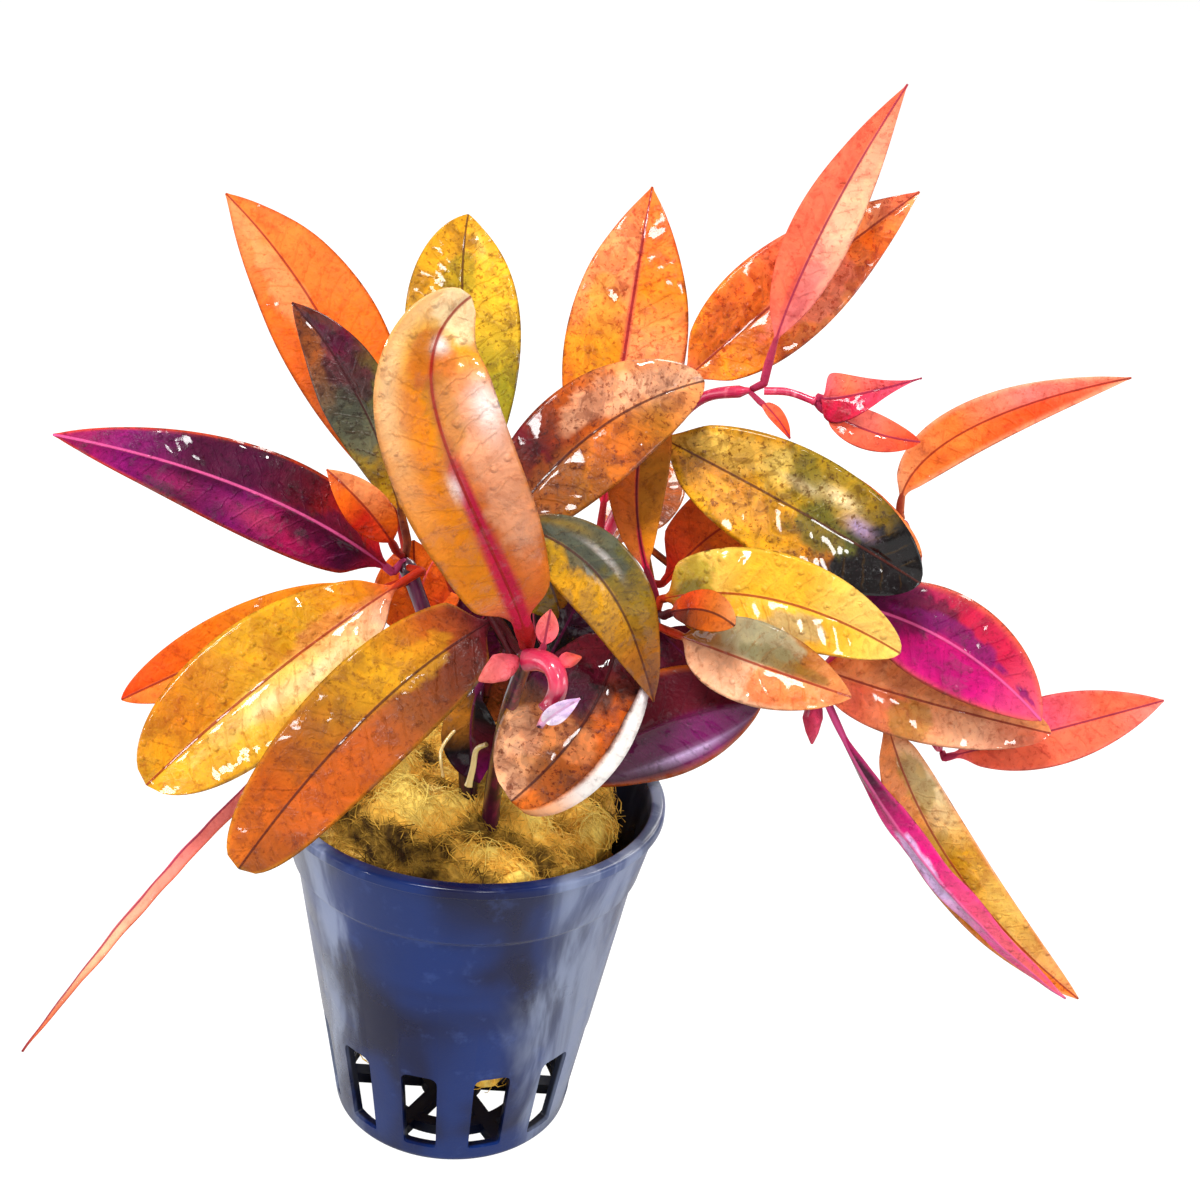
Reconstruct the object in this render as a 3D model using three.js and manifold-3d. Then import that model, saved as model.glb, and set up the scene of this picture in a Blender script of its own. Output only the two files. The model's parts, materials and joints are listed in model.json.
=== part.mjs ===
// Potted alternanthera sessilis: an aquarium plant in its slotted net pot.
// Millimetres, +Z up. The pot stands on z = 0 with its axis on the Z axis,
// and -Y is the front of the plant.

import * as THREE from 'three';
import { mergeVertices } from 'three/addons/utils/BufferGeometryUtils.js';
import ManifoldModule from 'manifold-3d';

const wasm = await ManifoldModule();
wasm.setup();
const { Manifold } = wasm;

// Driving sizes of the net pot, from a standard 5 cm pot.
const POT = {
  height: 50,
  rimRadius: 26.5,
  rimDepth: 1.6,
  rimRound: 0.4,
  collarTopRadius: 25.8,
  collarFootRadius: 23.9,
  collarFootZ: 40.4,
  bodyTopRadius: 23.3,
  footRadius: 16.7,
  footRound: 0.8,
  wall: 1.2,
  floor: 1.6,
  slots: 12,
  slotFirstAngle: -12,
  slotWidthAngle: 15,
  slotFootZ: 2.6,
  slotTopZ: 15.8,
  slotChamfer: 1.2,
  slotInnerRadius: 12,
  floorHub: 4.5,
  floorRing: 10.5,
  floorRingWidth: 1.8,
  spokes: 3,
  spokeWidth: 2.2,
  spokeAngle: 3,
  segments: 36,
};

const WOOL = {
  footZ: 16.6,
  footShare: 0.55,
  gap: 0.6,
  sideGap: 2.6,
  sideGapAngle: 12,
  sideGapFromZ: 38,
  edgeZ: 48.4,
  crownZ: 6.2,
  crownCentre: [-3, 3],
  crownReach: 24,
  socketGap: 0.5,
  socketDepth: 20,
  ringHeights: [19, 28, 38.5, 46],
  crownShares: [1, 0.86, 0.68, 0.48, 0.25],
  segments: 30,
};

const LEAF = {
  stations: 7,
  thickness: 0.5,
  petioleHalf: 0.65,
  petioleThickness: 1.0,
  tipHalf: 0.2,
  stalkHalf: 0.4,
  stalkThickness: 0.7,
  stemGap: 0.3,
};

// The stems stand in sockets of the wool. Their points run from foot to node.
const DARK = '#3a0a24';
const PINK = '#c2264c';
const STEMS = [
  {
    name: 'stem_left',
    points: [[0, -7, 45], [0, -7, 54], [-2, -6.5, 65], [-7, -4.5, 76], [-10.5, -1.5, 82.5]],
    radii: [1.3, 1.0],
    colour: DARK,
  },
  {
    name: 'stem_front',
    points: [[3.5, -10, 45], [3.5, -10.5, 53], [5, -20, 70], [7.5, -30, 84]],
    radii: [1.2, 0.9],
    colour: DARK,
  },
  {
    name: 'stem_right',
    points: [[6.5, -6, 45], [6.5, -6, 53], [12, -7, 66], [19.5, -8, 76], [22, -9, 81.5]],
    radii: [1.3, 1.0],
    colour: DARK,
  },
  {
    name: 'stem_pink_high',
    points: [[5, 0, 45], [5, 0, 54], [10, 6, 70], [18.5, 8.5, 94], [25, 6, 105], [31, 2.5, 107.8]],
    radii: [1.3, 0.9],
    colour: PINK,
  },
  {
    name: 'stem_back',
    points: [[-1, 1, 45], [-1, 1, 54], [-0.5, 6, 66], [0, 8, 82]],
    radii: [1.3, 0.9],
    colour: DARK,
  },
  {
    name: 'stem_low_right',
    points: [[10, 1, 45], [10, 1, 52], [22, 7, 61], [40, 8, 69], [46, 6.5, 67]],
    radii: [1.3, 1.0],
    colour: DARK,
  },
];

// The side shoots: thinner stems that leave a main stem and carry leaves.
const TWIGS = [
  {
    name: 'twig_far_right',
    points: [[47.7, 7.6, 67.2], [54, 8.4, 66], [59.5, 7, 62.8], [63.6, 6, 59]],
    radii: [0.8, 0.5],
    colour: '#e0607a',
  },
  {
    name: 'twig_peach_right',
    points: [[46.6, 8.2, 68.6], [53, 10.5, 78], [56.3, 8.5, 85], [53, 6.2, 91.5]],
    radii: [0.9, 0.6],
    colour: '#d8504a',
  },
  {
    name: 'bud_twig',
    points: [[32.6, 1.2, 108.2], [35.7, 1, 108.4], [39, 0, 107.8]],
    radii: [0.7, 0.6],
    colour: '#d8405a',
  },
  {
    name: 'shoot_twig',
    points: [[8.9, -31, 84], [10.5, -33.2, 84], [11.2, -34, 82.4], [11, -33.6, 80.4],
      [10.2, -33.7, 78.6]],
    radii: [0.8, 0.8],
    colour: PINK,
  },
];

const rad = THREE.MathUtils.degToRad;
const lerp = THREE.MathUtils.lerp;
const vec = (p) => new THREE.Vector3(...p);
const group = new THREE.Group();
group.name = 'potted_alternanthera_sessilis';

// Meshes

function addMesh(name, geometry, colour, roughness = 0.35) {
  geometry.computeVertexNormals();
  const finish = new THREE.MeshStandardMaterial({ color: colour, roughness, metalness: 0 });
  const mesh = new THREE.Mesh(geometry, finish);
  mesh.name = name;
  group.add(mesh);
}

// A closed skin over rings that all have the same number of points. Each ring
// runs the same way round, and the first and last rings are capped by fans.
function skinGeometry(rings) {
  const count = rings[0].length;
  const points = rings.flat();
  const faces = [];
  for (let i = 0; i < rings.length - 1; i += 1) {
    for (let j = 0; j < count; j += 1) {
      const k = (j + 1) % count;
      const a = i * count + j;
      const b = i * count + k;
      const c = (i + 1) * count + k;
      const d = (i + 1) * count + j;
      faces.push(a, b, c, a, c, d);
    }
  }
  const last = (rings.length - 1) * count;
  for (let j = 1; j < count - 1; j += 1) {
    faces.push(0, j + 1, j);
    faces.push(last, last + j, last + j + 1);
  }
  const geometry = new THREE.BufferGeometry();
  geometry.setAttribute(
    'position',
    new THREE.Float32BufferAttribute(points.flatMap((p) => p.toArray()), 3),
  );
  geometry.setIndex(faces);
  return geometry;
}

function fromManifold(solid) {
  const { vertProperties, triVerts, numProp } = solid.getMesh();
  const rounded = (value) => Math.round(value * 1e5) / 1e5;
  const positions = [];
  for (let i = 0; i < vertProperties.length; i += numProp) {
    positions.push(...Array.from(vertProperties.subarray(i, i + 3), rounded));
  }
  const geometry = new THREE.BufferGeometry();
  geometry.setAttribute('position', new THREE.Float32BufferAttribute(positions, 3));
  geometry.setIndex(Array.from(triVerts));
  return geometry;
}

// Shared vertices are merged, and triangles that shrink to a line are dropped.
function toManifold(geometry) {
  geometry.deleteAttribute('normal');
  geometry.deleteAttribute('uv');
  const merged = mergeVertices(geometry);
  const index = merged.index.array;
  const faces = [];
  for (let i = 0; i < index.length; i += 3) {
    const [a, b, c] = [index[i], index[i + 1], index[i + 2]];
    if (a !== b && b !== c && c !== a) {
      faces.push(a, b, c);
    }
  }
  return new Manifold(new wasm.Mesh({
    numProp: 3,
    vertProperties: new Float32Array(merged.attributes.position.array),
    triVerts: new Uint32Array(faces),
  }));
}

const joined = (solids) => solids.reduce((sum, solid) => sum.add(solid));

// A profile of radius and height, turned round the Z axis.
function turned(profile) {
  const points = profile.map(([r, z]) => new THREE.Vector2(r, z));
  return toManifold(new THREE.LatheGeometry(points, POT.segments).rotateX(Math.PI / 2));
}

// Pot

const bodyRadius = (z) => lerp(POT.footRadius, POT.bodyTopRadius, Math.min(z / POT.collarFootZ, 1));

function potProfile() {
  const bodyTopZ = POT.collarFootZ - 0.5;
  return [
    [0, 0],
    [POT.footRadius - POT.footRound, 0],
    [POT.footRadius, POT.footRound],
    [POT.bodyTopRadius, bodyTopZ],
    [POT.collarFootRadius, POT.collarFootZ],
    [POT.collarTopRadius, POT.height - POT.rimDepth],
    [POT.rimRadius, POT.height - POT.rimDepth + 0.3],
    [POT.rimRadius, POT.height - POT.rimRound],
    [POT.rimRadius - POT.rimRound, POT.height],
    [POT.collarTopRadius - POT.wall, POT.height],
    [POT.bodyTopRadius - POT.wall, bodyTopZ],
    [POT.footRadius - POT.wall, POT.floor],
    [0, POT.floor],
  ];
}

// One slot, with chamfered upper corners, cut square through the wall.
function slotCutter(angle) {
  const half = (z) => bodyRadius(z) * Math.tan(rad(POT.slotWidthAngle / 2));
  const foot = POT.slotFootZ;
  const top = POT.slotTopZ;
  const shoulder = top - POT.slotChamfer;
  const outline = new THREE.Shape([
    new THREE.Vector2(-half(foot), foot),
    new THREE.Vector2(half(foot), foot),
    new THREE.Vector2(half(shoulder), shoulder),
    new THREE.Vector2(half(top) - POT.slotChamfer, top),
    new THREE.Vector2(POT.slotChamfer - half(top), top),
    new THREE.Vector2(-half(shoulder), shoulder),
  ]);
  const depth = POT.rimRadius - POT.slotInnerRadius;
  return toManifold(new THREE.ExtrudeGeometry(outline, { depth, bevelEnabled: false })
    .rotateX(Math.PI / 2)
    .translate(0, -POT.slotInnerRadius, 0)
    .rotateZ(rad(angle)));
}

// The openings in the floor between its hub, its ring and its spokes.
function floorOpenings() {
  const low = -1;
  const high = POT.floor + 1;
  const band = (inner, outer) => turned(
    [[inner, low], [outer, low], [outer, high], [inner, high], [inner, low]],
  );
  const ringHalf = POT.floorRingWidth / 2;
  const innerBand = band(POT.floorHub, POT.floorRing - ringHalf);
  const outerBand = band(POT.floorRing + ringHalf, POT.footRadius - POT.wall - 0.6);
  const spokes = [];
  for (let i = 0; i < POT.spokes; i += 1) {
    const spoke = new THREE.BoxGeometry(2 * POT.footRadius, POT.spokeWidth, 4 * POT.floor)
      .rotateZ(rad(POT.spokeAngle + (i * 180) / POT.spokes));
    spokes.push(toManifold(spoke));
  }
  return innerBand.add(outerBand).subtract(joined(spokes));
}

function buildPot() {
  const cutters = [];
  for (let i = 0; i < POT.slots; i += 1) {
    cutters.push(slotCutter(POT.slotFirstAngle + (i * 360) / POT.slots));
  }
  const solid = turned(potProfile()).subtract(joined(cutters)).subtract(floorOpenings());
  addMesh('pot', fromManifold(solid), '#26345f', 0.4);
}

// Mineral wool

// The wool fills the pot up to its wall, apart from a gap on the right at the top.
function woolRadius(z, angle) {
  const inside = bodyRadius(z) - POT.wall - WOOL.gap;
  const collarFlare = Math.max(z - POT.collarFootZ, 0) * 0.19;
  const right = Math.max(Math.cos(angle + rad(WOOL.sideGapAngle)), 0);
  return inside + collarFlare - right * (z > WOOL.sideGapFromZ ? WOOL.sideGap : 0);
}

function woolTopZ(x, y) {
  const [cx, cy] = WOOL.crownCentre;
  const spread = Math.hypot(x - cx, y - cy) / WOOL.crownReach;
  const dome = WOOL.crownZ * Math.max(1 - spread ** 1.7, 0);
  const slope = -0.06 * x;
  const lumps = 0.7 * Math.sin(0.55 * x + 1) * Math.cos(0.47 * y)
    + 0.35 * Math.sin(1.1 * y + 0.9 * x);
  return WOOL.edgeZ + dome + slope + lumps;
}

function buildWool() {
  const rings = [];
  const ring = (radiusOf, heightOf) => {
    const points = [];
    for (let j = 0; j < WOOL.segments; j += 1) {
      const angle = (j * 2 * Math.PI) / WOOL.segments;
      const r = radiusOf(angle);
      const x = r * Math.cos(angle);
      const y = r * Math.sin(angle);
      points.push(new THREE.Vector3(x, y, heightOf(x, y)));
    }
    rings.push(points);
  };
  ring(() => woolRadius(WOOL.footZ, 0) * WOOL.footShare, () => WOOL.footZ);
  ring((a) => woolRadius(WOOL.footZ, a) - 1, () => WOOL.footZ);
  WOOL.ringHeights.forEach((z) => {
    ring((a) => woolRadius(z, a) - 0.35 * (1 + Math.sin(5 * a + z)), () => z);
  });
  WOOL.crownShares.forEach((share) => {
    ring((a) => (woolRadius(47, a) - 0.3) * share, woolTopZ);
  });
  const sockets = STEMS.map(({ points: [[x, y, z]], radii: [r] }) => {
    const radius = r + WOOL.socketGap;
    const middle = z - WOOL.socketGap + WOOL.socketDepth / 2;
    return toManifold(new THREE.CylinderGeometry(radius, radius, WOOL.socketDepth, 8)
      .rotateX(Math.PI / 2)
      .translate(x, y, middle));
  });
  const solid = toManifold(skinGeometry(rings)).subtract(joined(sockets));
  addMesh('mineral_wool', fromManifold(solid), '#a07a30', 0.95);
}

// Stems and twigs

const stemCurve = (points) => new THREE.CatmullRomCurve3(points.map(vec), false, 'centripetal');

function tubeRings(points, radii, sides) {
  const curve = stemCurve(points);
  const steps = Math.max(points.length * 2, 4);
  let side = null;
  const rings = [];
  for (let i = 0; i <= steps; i += 1) {
    const t = i / steps;
    const centre = curve.getPoint(t);
    const along = curve.getTangent(t);
    if (!side) {
      side = Math.abs(along.x) < 0.8 ? new THREE.Vector3(1, 0, 0) : new THREE.Vector3(0, 1, 0);
    }
    side.addScaledVector(along, -side.dot(along)).normalize();
    const other = new THREE.Vector3().crossVectors(along, side);
    const radius = lerp(radii[0], radii[1], t);
    const ring = [];
    for (let j = 0; j < sides; j += 1) {
      const a = (j * 2 * Math.PI) / sides;
      ring.push(centre.clone()
        .addScaledVector(side, radius * Math.cos(a))
        .addScaledVector(other, radius * Math.sin(a)));
    }
    rings.push(ring);
  }
  return rings;
}

function addStem(name, points, radii, colour, sides) {
  addMesh(name, skinGeometry(tubeRings(points, radii, sides)), colour);
}

// A closed rounded bud: rings on an axis, with a fat middle and a pointed end.
function addBud(name, base, tip, radius, colour) {
  const from = vec(base);
  const to = vec(tip);
  const along = to.clone().sub(from).normalize();
  const side = new THREE.Vector3(0, 1, 0).cross(along).normalize();
  const other = new THREE.Vector3().crossVectors(along, side);
  const shape = [[0, 0.35], [0.2, 0.85], [0.45, 1], [0.75, 0.65], [1, 0.12]];
  const rings = shape.map(([t, share]) => {
    const centre = from.clone().lerp(to, t);
    const ring = [];
    for (let j = 0; j < 8; j += 1) {
      const a = (j * Math.PI) / 4;
      ring.push(centre.clone()
        .addScaledVector(side, share * radius * Math.cos(a))
        .addScaledVector(other, share * radius * Math.sin(a)));
    }
    return ring;
  });
  addMesh(name, skinGeometry(rings), colour);
}

// Leaves

// The Bezier curve through three or four points on the midrib.
function midribCurve(points) {
  const p = points.map(vec);
  if (p.length === 3) {
    const bend = p[1].clone().multiplyScalar(2)
      .addScaledVector(p[0], -0.5).addScaledVector(p[2], -0.5);
    return new THREE.QuadraticBezierCurve3(p[0], bend, p[2]);
  }
  const mix = (weights) => {
    const sum = new THREE.Vector3();
    weights.forEach((w, i) => sum.addScaledVector(p[i], w / 6));
    return sum;
  };
  return new THREE.CubicBezierCurve3(p[0], mix([-5, 18, -9, 2]), mix([2, -9, 18, -5]), p[3]);
}

// Half width of the blade at t, which runs from 0 at the stem to 1 at the tip.
function bladeHalf(leaf, t) {
  const [p, q] = leaf.shape;
  const s = THREE.MathUtils.clamp((t - leaf.petiole) / (1 - leaf.petiole), 0, 1);
  const peak = p / (p + q);
  const full = (s ** p * (1 - s) ** q) / (peak ** p * (1 - peak) ** q);
  const stalk = t < 0.5 ? LEAF.petioleHalf : 0;
  return Math.max((leaf.width / 2) * full, stalk, LEAF.tipHalf);
}

// Across the blade: sideways and upward reach at the share u of a half that
// leaves the midrib at the angle fold and bends by curl up to its margin.
function crossReach(u, fold, curl) {
  const f = rad(fold);
  const k = rad(curl);
  return [
    (Math.sin(f + k * u) - Math.sin(f)) / k,
    (Math.cos(f) - Math.cos(f + k * u)) / k,
  ];
}

// The first point on the straight way from a stem to a leaf that is clear of
// that stem, or null where the leaf itself starts beside the stem.
function stalkStart(leaf, base) {
  const [name, share] = leaf.from;
  const stem = [...STEMS, ...TWIGS].find((s) => s.name === name);
  const curve = stemCurve(stem.points);
  const axis = curve.getPoint(share);
  const samples = curve.getPoints(60);
  const clear = lerp(stem.radii[0], stem.radii[1], share) + LEAF.stemGap + LEAF.stalkHalf;
  for (let f = 0.02; f < 0.9; f += 0.02) {
    const point = axis.clone().lerp(base, f);
    if (samples.every((s) => s.distanceTo(point) > clear)) {
      return point.distanceTo(base) > 2 * LEAF.stalkHalf ? point : null;
    }
  }
  return null;
}

// One ring round the leaf: five points on its upper side and three below.
function leafRing(leaf, centre, along, half, thick) {
  const facing = vec(leaf.facing);
  const up = facing.clone().addScaledVector(along, -facing.dot(along)).normalize();
  const side = new THREE.Vector3().crossVectors(along, up);
  const at = (u, down) => {
    const [fold, curl] = u < 0 ? leaf.left : leaf.right;
    const [across, rise] = crossReach(Math.abs(u), fold, curl);
    return centre.clone()
      .addScaledVector(side, half * across * Math.sign(u))
      .addScaledVector(up, half * rise - down);
  };
  return [
    ...[-1, -0.5, 0, 0.5, 1].map((u) => at(u, 0)),
    ...[0.55, 0, -0.55].map((u) => at(u, thick)),
  ];
}

function leafRings(leaf) {
  const curve = midribCurve(leaf.midrib);
  const base = curve.getPoint(0);
  const start = leaf.from ? stalkStart(leaf, base) : null;
  const rings = [];
  let stalkAlong = null;
  if (start) {
    stalkAlong = base.clone().sub(start).normalize();
    rings.push(leafRing(leaf, start, stalkAlong, LEAF.stalkHalf, LEAF.stalkThickness));
  }
  for (let i = 0; i < LEAF.stations; i += 1) {
    const t = i === 0 ? 0 : leaf.petiole + ((1 - leaf.petiole) * (i - 1)) / (LEAF.stations - 2);
    const along = curve.getTangent(t);
    if (i === 0 && stalkAlong) {
      along.add(stalkAlong).normalize();
    }
    const stalk = Math.max(1 - t / (leaf.petiole + 0.15), 0);
    const tip = t > 0.99 ? 0.5 : 1;
    const thick = lerp(LEAF.thickness, LEAF.petioleThickness, stalk) * tip;
    rings.push(leafRing(leaf, curve.getPoint(t), along, bladeHalf(leaf, t), thick));
  }
  return rings;
}

// left and right hold the fold and the curl of each half, in degrees, and from
// names the stem that the leaf grows on and the share of the way up it.
function addLeaf(name, colour, width, midrib, facing, options = {}) {
  const leaf = {
    width,
    midrib,
    facing,
    petiole: 0.1,
    shape: [0.85, 0.95],
    left: [12, -8],
    right: [12, -8],
    ...options,
  };
  addMesh(name, skinGeometry(leafRings(leaf)), colour);
}

// The plant

function buildStems() {
  STEMS.forEach(({ name, points, radii, colour }) => addStem(name, points, radii, colour, 7));
  TWIGS.forEach(({ name, points, radii, colour }) => addStem(name, points, radii, colour, 6));
}

function buildUpperLeaves() {
  addLeaf('leaf_orange_back_left', '#f08030', 14.5,
    [[-11.5, 4, 83], [-23.5, 18, 104.5], [-41, 28, 121.5]], [0, -0.9, 0.45],
    { from: ['stem_left', 1] });
  addLeaf('leaf_bronze_left', '#4a2a18', 9.5,
    [[-10.5, -0.8, 84.8], [-17.5, 4, 100.5], [-27.5, 8, 112]], [-0.1, -1, 0.15],
    { from: ['stem_left', 1] });
  addLeaf('leaf_gold_front', '#e0a04a', 12.6,
    [[7.5, -31, 85.5], [3, -44, 104], [-2, -48, 117.5], [0.5, -46, 126.5]],
    [0.3, -0.92, -0.2], { shape: [0.62, 0.5] });
  addLeaf('leaf_green_back', '#b09a20', 15.5,
    [[-1, 10.5, 84.5], [-6.5, 18, 107], [-7.5, 24, 122.5]], [0.05, -0.93, 0.36],
    { from: ['stem_back', 1], shape: [0.8, 0.75] });
  addLeaf('leaf_coral_centre', '#ea8a50', 15.8,
    [[14, 1, 86], [15, 10, 109.5], [16.5, 20, 129]], [0, -0.9, 0.4],
    { from: ['stem_pink_high', 0.52], shape: [0.85, 1.05] });
  addLeaf('leaf_brown_centre', '#8a4a20', 13,
    [[0.5, -19, 88], [10.5, -12.5, 103], [25, -3.5, 110]], [0.2, -0.87, 0.45],
    { from: ['stem_front', 0.94], shape: [0.7, 0.65] });
  addLeaf('leaf_amber_right', '#e08a34', 13,
    [[20.5, 4.2, 105.2], [34.5, 9, 119], [49.5, 12, 132.5]], [-0.05, -0.97, 0.23],
    { from: ['stem_pink_high', 0.74], shape: [0.65, 1] });
  addLeaf('leaf_bronze_upright', '#9a6224', 7.8,
    [[21.5, -9, 84], [18.5, -7, 93], [18, -4, 101], [19, -0.5, 108]], [0, -0.99, 0.12],
    { from: ['stem_right', 1], shape: [0.8, 0.6] });
  addLeaf('leaf_pink_top_right', '#f07a66', 7.8,
    [[32.5, 1.5, 109.3], [36.5, 4, 125.5], [46, 12, 145]], [-0.05, -0.95, 0.3],
    { petiole: 0.18, shape: [0.85, 1.05] });
  addLeaf('leaf_peach_far_right', '#ee8a50', 6.6,
    [[52.5, 6, 92.5], [55, 7, 100], [63.5, 5, 107.5], [76.5, 0, 114.5]],
    [-0.34, -0.93, 0.15], { shape: [0.75, 0.9] });
  addLeaf('leaf_olive_right', '#b08a3a', 14,
    [[16.5, 0, 102], [37, -6, 95.5], [54, -8, 88]], [-0.1, -0.95, 0.3],
    { from: ['stem_right', 1], shape: [0.6, 0.65] });
  addLeaf('leaf_rust_behind', '#c0601c', 12,
    [[23, 3, 81], [38, 6, 92.5], [56, 4, 87.5]], [0, -0.94, 0.33],
    { from: ['stem_pink_high', 0.5], shape: [0.7, 0.7] });
}

function buildRightLeaves() {
  addLeaf('leaf_yellow_right', '#f2c044', 11.5,
    [[24, -10, 83.5], [35.5, -16, 87.5], [51, -18, 83]], [-0.2, -0.91, 0.37],
    { from: ['stem_right', 1], shape: [0.6, 0.6] });
  addLeaf('leaf_rust_curl', '#b0581c', 5,
    [[22.5, -13, 83], [26.5, -20, 87], [30.5, -24, 87]], [-0.6, -0.7, 0.4],
    { from: ['stem_right', 1], shape: [0.7, 0.6] });
  addLeaf('leaf_peach_right', '#e8ac6c', 10,
    [[23.5, -12, 80.5], [33, -20, 81], [45, -24, 79.5]], [-0.37, -0.82, 0.43],
    { from: ['stem_right', 0.93], shape: [0.7, 0.8] });
  addLeaf('leaf_magenta_right', '#b01868', 12.6,
    [[44, 2, 81], [58.5, -3, 79.5], [72, -8, 71.5]], [0.2, 0.91, -0.37],
    { from: ['stem_low_right', 0.88], shape: [0.7, 0.75] });
  addLeaf('leaf_orange_low_right', '#ea8a38', 9.5,
    [[44.5, 5.5, 69.5], [58, 2, 67.5], [75.5, -2, 67]], [-0.2, -0.9, 0.41],
    { shape: [0.7, 0.6] });
  addLeaf('leaf_red_far_right', '#e0504a', 9.6,
    [[64, 5, 58.5], [77, 4, 64.5], [90.5, 2, 71.5]], [-0.3, -0.87, 0.4],
    { petiole: 0.05, shape: [0.8, 0.9] });
  addLeaf('leaf_yellow_hanging', '#eab048', 9,
    [[54.5, 5, 65.5], [67, 3, 43.5], [88, 0, 25]], [0.06, -0.98, 0.17],
    { from: ['twig_far_right', 0.36], petiole: 0.05, shape: [0.6, 0.8] });
  addLeaf('leaf_magenta_hanging', '#d0306c', 5.5,
    [[47.5, 6, 64.5], [62.5, 0, 45.5], [85, -3, 27]], [0.37, 0.91, 0.16],
    { from: ['stem_low_right', 1], shape: [0.8, 0.8] });
  addLeaf('leaf_purple_low', '#5a1450', 13.5,
    [[10.5, -9, 54.5], [23, -12, 67], [36, -14, 73]], [0.36, 0.91, -0.23],
    { from: ['stem_right', 0.3], shape: [0.7, 0.7] });
  addLeaf('leaf_olive_arched', '#a08030', 8.4,
    [[0.5, -26, 99], [12, -27, 96.5], [18.5, -23, 86.5], [23, -20, 75]],
    [0.37, -0.92, -0.14], { from: ['stem_front', 1], shape: [0.7, 0.6] });
  addLeaf('leaf_brown_drooping', '#a8683a', 16,
    [[17, -12, 81.5], [14.5, -20, 72], [8, -26, 61]], [0.05, -0.84, 0.54],
    { from: ['stem_right', 0.85], shape: [0.75, 0.4], left: [6, 10], right: [14, 60] });
}

function buildLeftLeaves() {
  addLeaf('leaf_purple_left', '#6a1050', 11.5,
    [[-12, -2.5, 81], [-29, -8, 92], [-51.5, -12, 98]], [-0.32, 0.9, -0.28]);
  addLeaf('leaf_red_small_left', '#c8502c', 5.6,
    [[-11, -5.5, 85], [-14, -9, 91], [-19.5, -9, 96]], [0.35, -0.93, 0.09],
    { from: ['stem_left', 1] });
  addLeaf('leaf_red_low_left', '#d8602a', 9.5,
    [[-10.5, -5, 80.5], [-25.5, -12, 75], [-41.5, -20, 68]], [0.2, -0.89, 0.41],
    { from: ['stem_left', 0.9], shape: [0.7, 0.7] });
  addLeaf('leaf_amber_low_left', '#e0902a', 15.2,
    [[-7.5, -9, 84], [-21.5, -20, 75], [-35, -32, 63.5]], [0.29, -0.81, 0.51],
    { from: ['stem_left', 0.8], shape: [0.7, 0.5] });
  addLeaf('leaf_copper_front_left', '#c4742c', 10.8,
    [[2.5, -20, 83], [-10, -30, 72.5], [-22.5, -40, 57.5]], [0.18, -0.85, 0.49],
    { from: ['stem_front', 0.8], shape: [0.8, 0.55] });
  addLeaf('leaf_pink_blade_left', '#f0707a', 4.6,
    [[-8, -14, 74], [-28, -24, 56], [-48.5, -38, 29]], [0.62, 0.31, -0.72],
    { from: ['stem_left', 0.65] });
}

// Leaves behind and inside the bunch, which fill the back of the plant.
function buildBackLeaves() {
  addLeaf('leaf_maroon_inside', '#4a0a28', 11,
    [[8.5, -4, 70], [11.5, -8.5, 79.5], [14.5, -10, 88]], [0.2, 0.95, -0.1],
    { from: ['stem_right', 0.45] });
  addLeaf('leaf_back_left', '#8a2a4a', 12,
    [[-11.5, 5, 78], [-22, 26, 62], [-33, 40, 50]], [-0.35, 0.7, 0.6],
    { from: ['stem_left', 0.84] });
  addLeaf('leaf_back_upright', '#b07a30', 12,
    [[-3, 12, 82], [-10, 32, 84], [-14, 47, 88]], [-0.1, -0.2, 1],
    { from: ['stem_back', 0.95] });
  addLeaf('leaf_back_centre', '#a8602a', 12,
    [[14.5, 12.5, 80], [19.5, 30, 83.5], [20, 44, 87]], [0.1, -0.3, 1],
    { from: ['stem_pink_high', 0.46] });
  addLeaf('leaf_back_low', '#7a1a48', 12,
    [[9.5, 11, 67], [15.5, 28, 60], [19, 42, 45]], [0.1, 0.6, 0.8],
    { from: ['stem_pink_high', 0.38] });
  addLeaf('leaf_back_right', '#b8702c', 12,
    [[27, 11, 79.5], [33, 28, 77.5], [41, 42, 77]], [0.1, 0.1, 1],
    { from: ['stem_pink_high', 0.54] });
  addLeaf('leaf_back_low_right', '#8a2a50', 12,
    [[33, 14, 69], [42, 32, 59], [53, 44, 49.5]], [0.4, 0.5, 0.8],
    { from: ['stem_low_right', 0.63] });
}

// The buds and the smallest leaves, on the twigs and at the ends of the stems.
function buildShoots() {
  addBud('shoot_bud', [6.4, -31.3, 83.5], [2.6, -35, 82.2], 1.5, '#e88068');
  addBud('shoot_stub', [11.6, -32.8, 84.9], [13.4, -32.6, 85.2], 0.8, '#e86a60');
  addBud('bud_low_right', [45.1, 5.3, 65.6], [45.4, 3, 59.6], 1.3, '#d05070');
  addLeaf('shoot_leaf', '#e86a74', 2.6,
    [[9.2, -31.8, 85.3], [9.4, -31.2, 87.3], [9.6, -30.5, 89.5]], [0.1, -1, 0.1]);
  addLeaf('shoot_pale_leaf', '#e8dcf0', 2.4,
    [[9.8, -35, 77.4], [11.2, -35.4, 79.2], [13.8, -35, 81.2]], [0.2, -1, 0.2]);
  addLeaf('bud_leaf_pink', '#ee6a78', 6.2,
    [[39.5, 0, 108.4], [43, -1, 109.2], [51.5, 0, 112]], [0, -1, 0.2],
    { petiole: 0.04, shape: [0.7, 1.5] });
  addLeaf('bud_leaf_red', '#e8483c', 4.8,
    [[40, 0, 107], [46, -1, 105], [52.5, 0, 104]], [0, -1, 0.3],
    { petiole: 0.04, shape: [0.6, 0.8] });
  addLeaf('leaf_narrow_right', '#e8605a', 1.8,
    [[32.6, 1.5, 106.8], [34.4, 0.5, 105.4], [36.5, -0.5, 103]], [0.6, -0.8, 0.4],
    { petiole: 0.04 });
}

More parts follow.
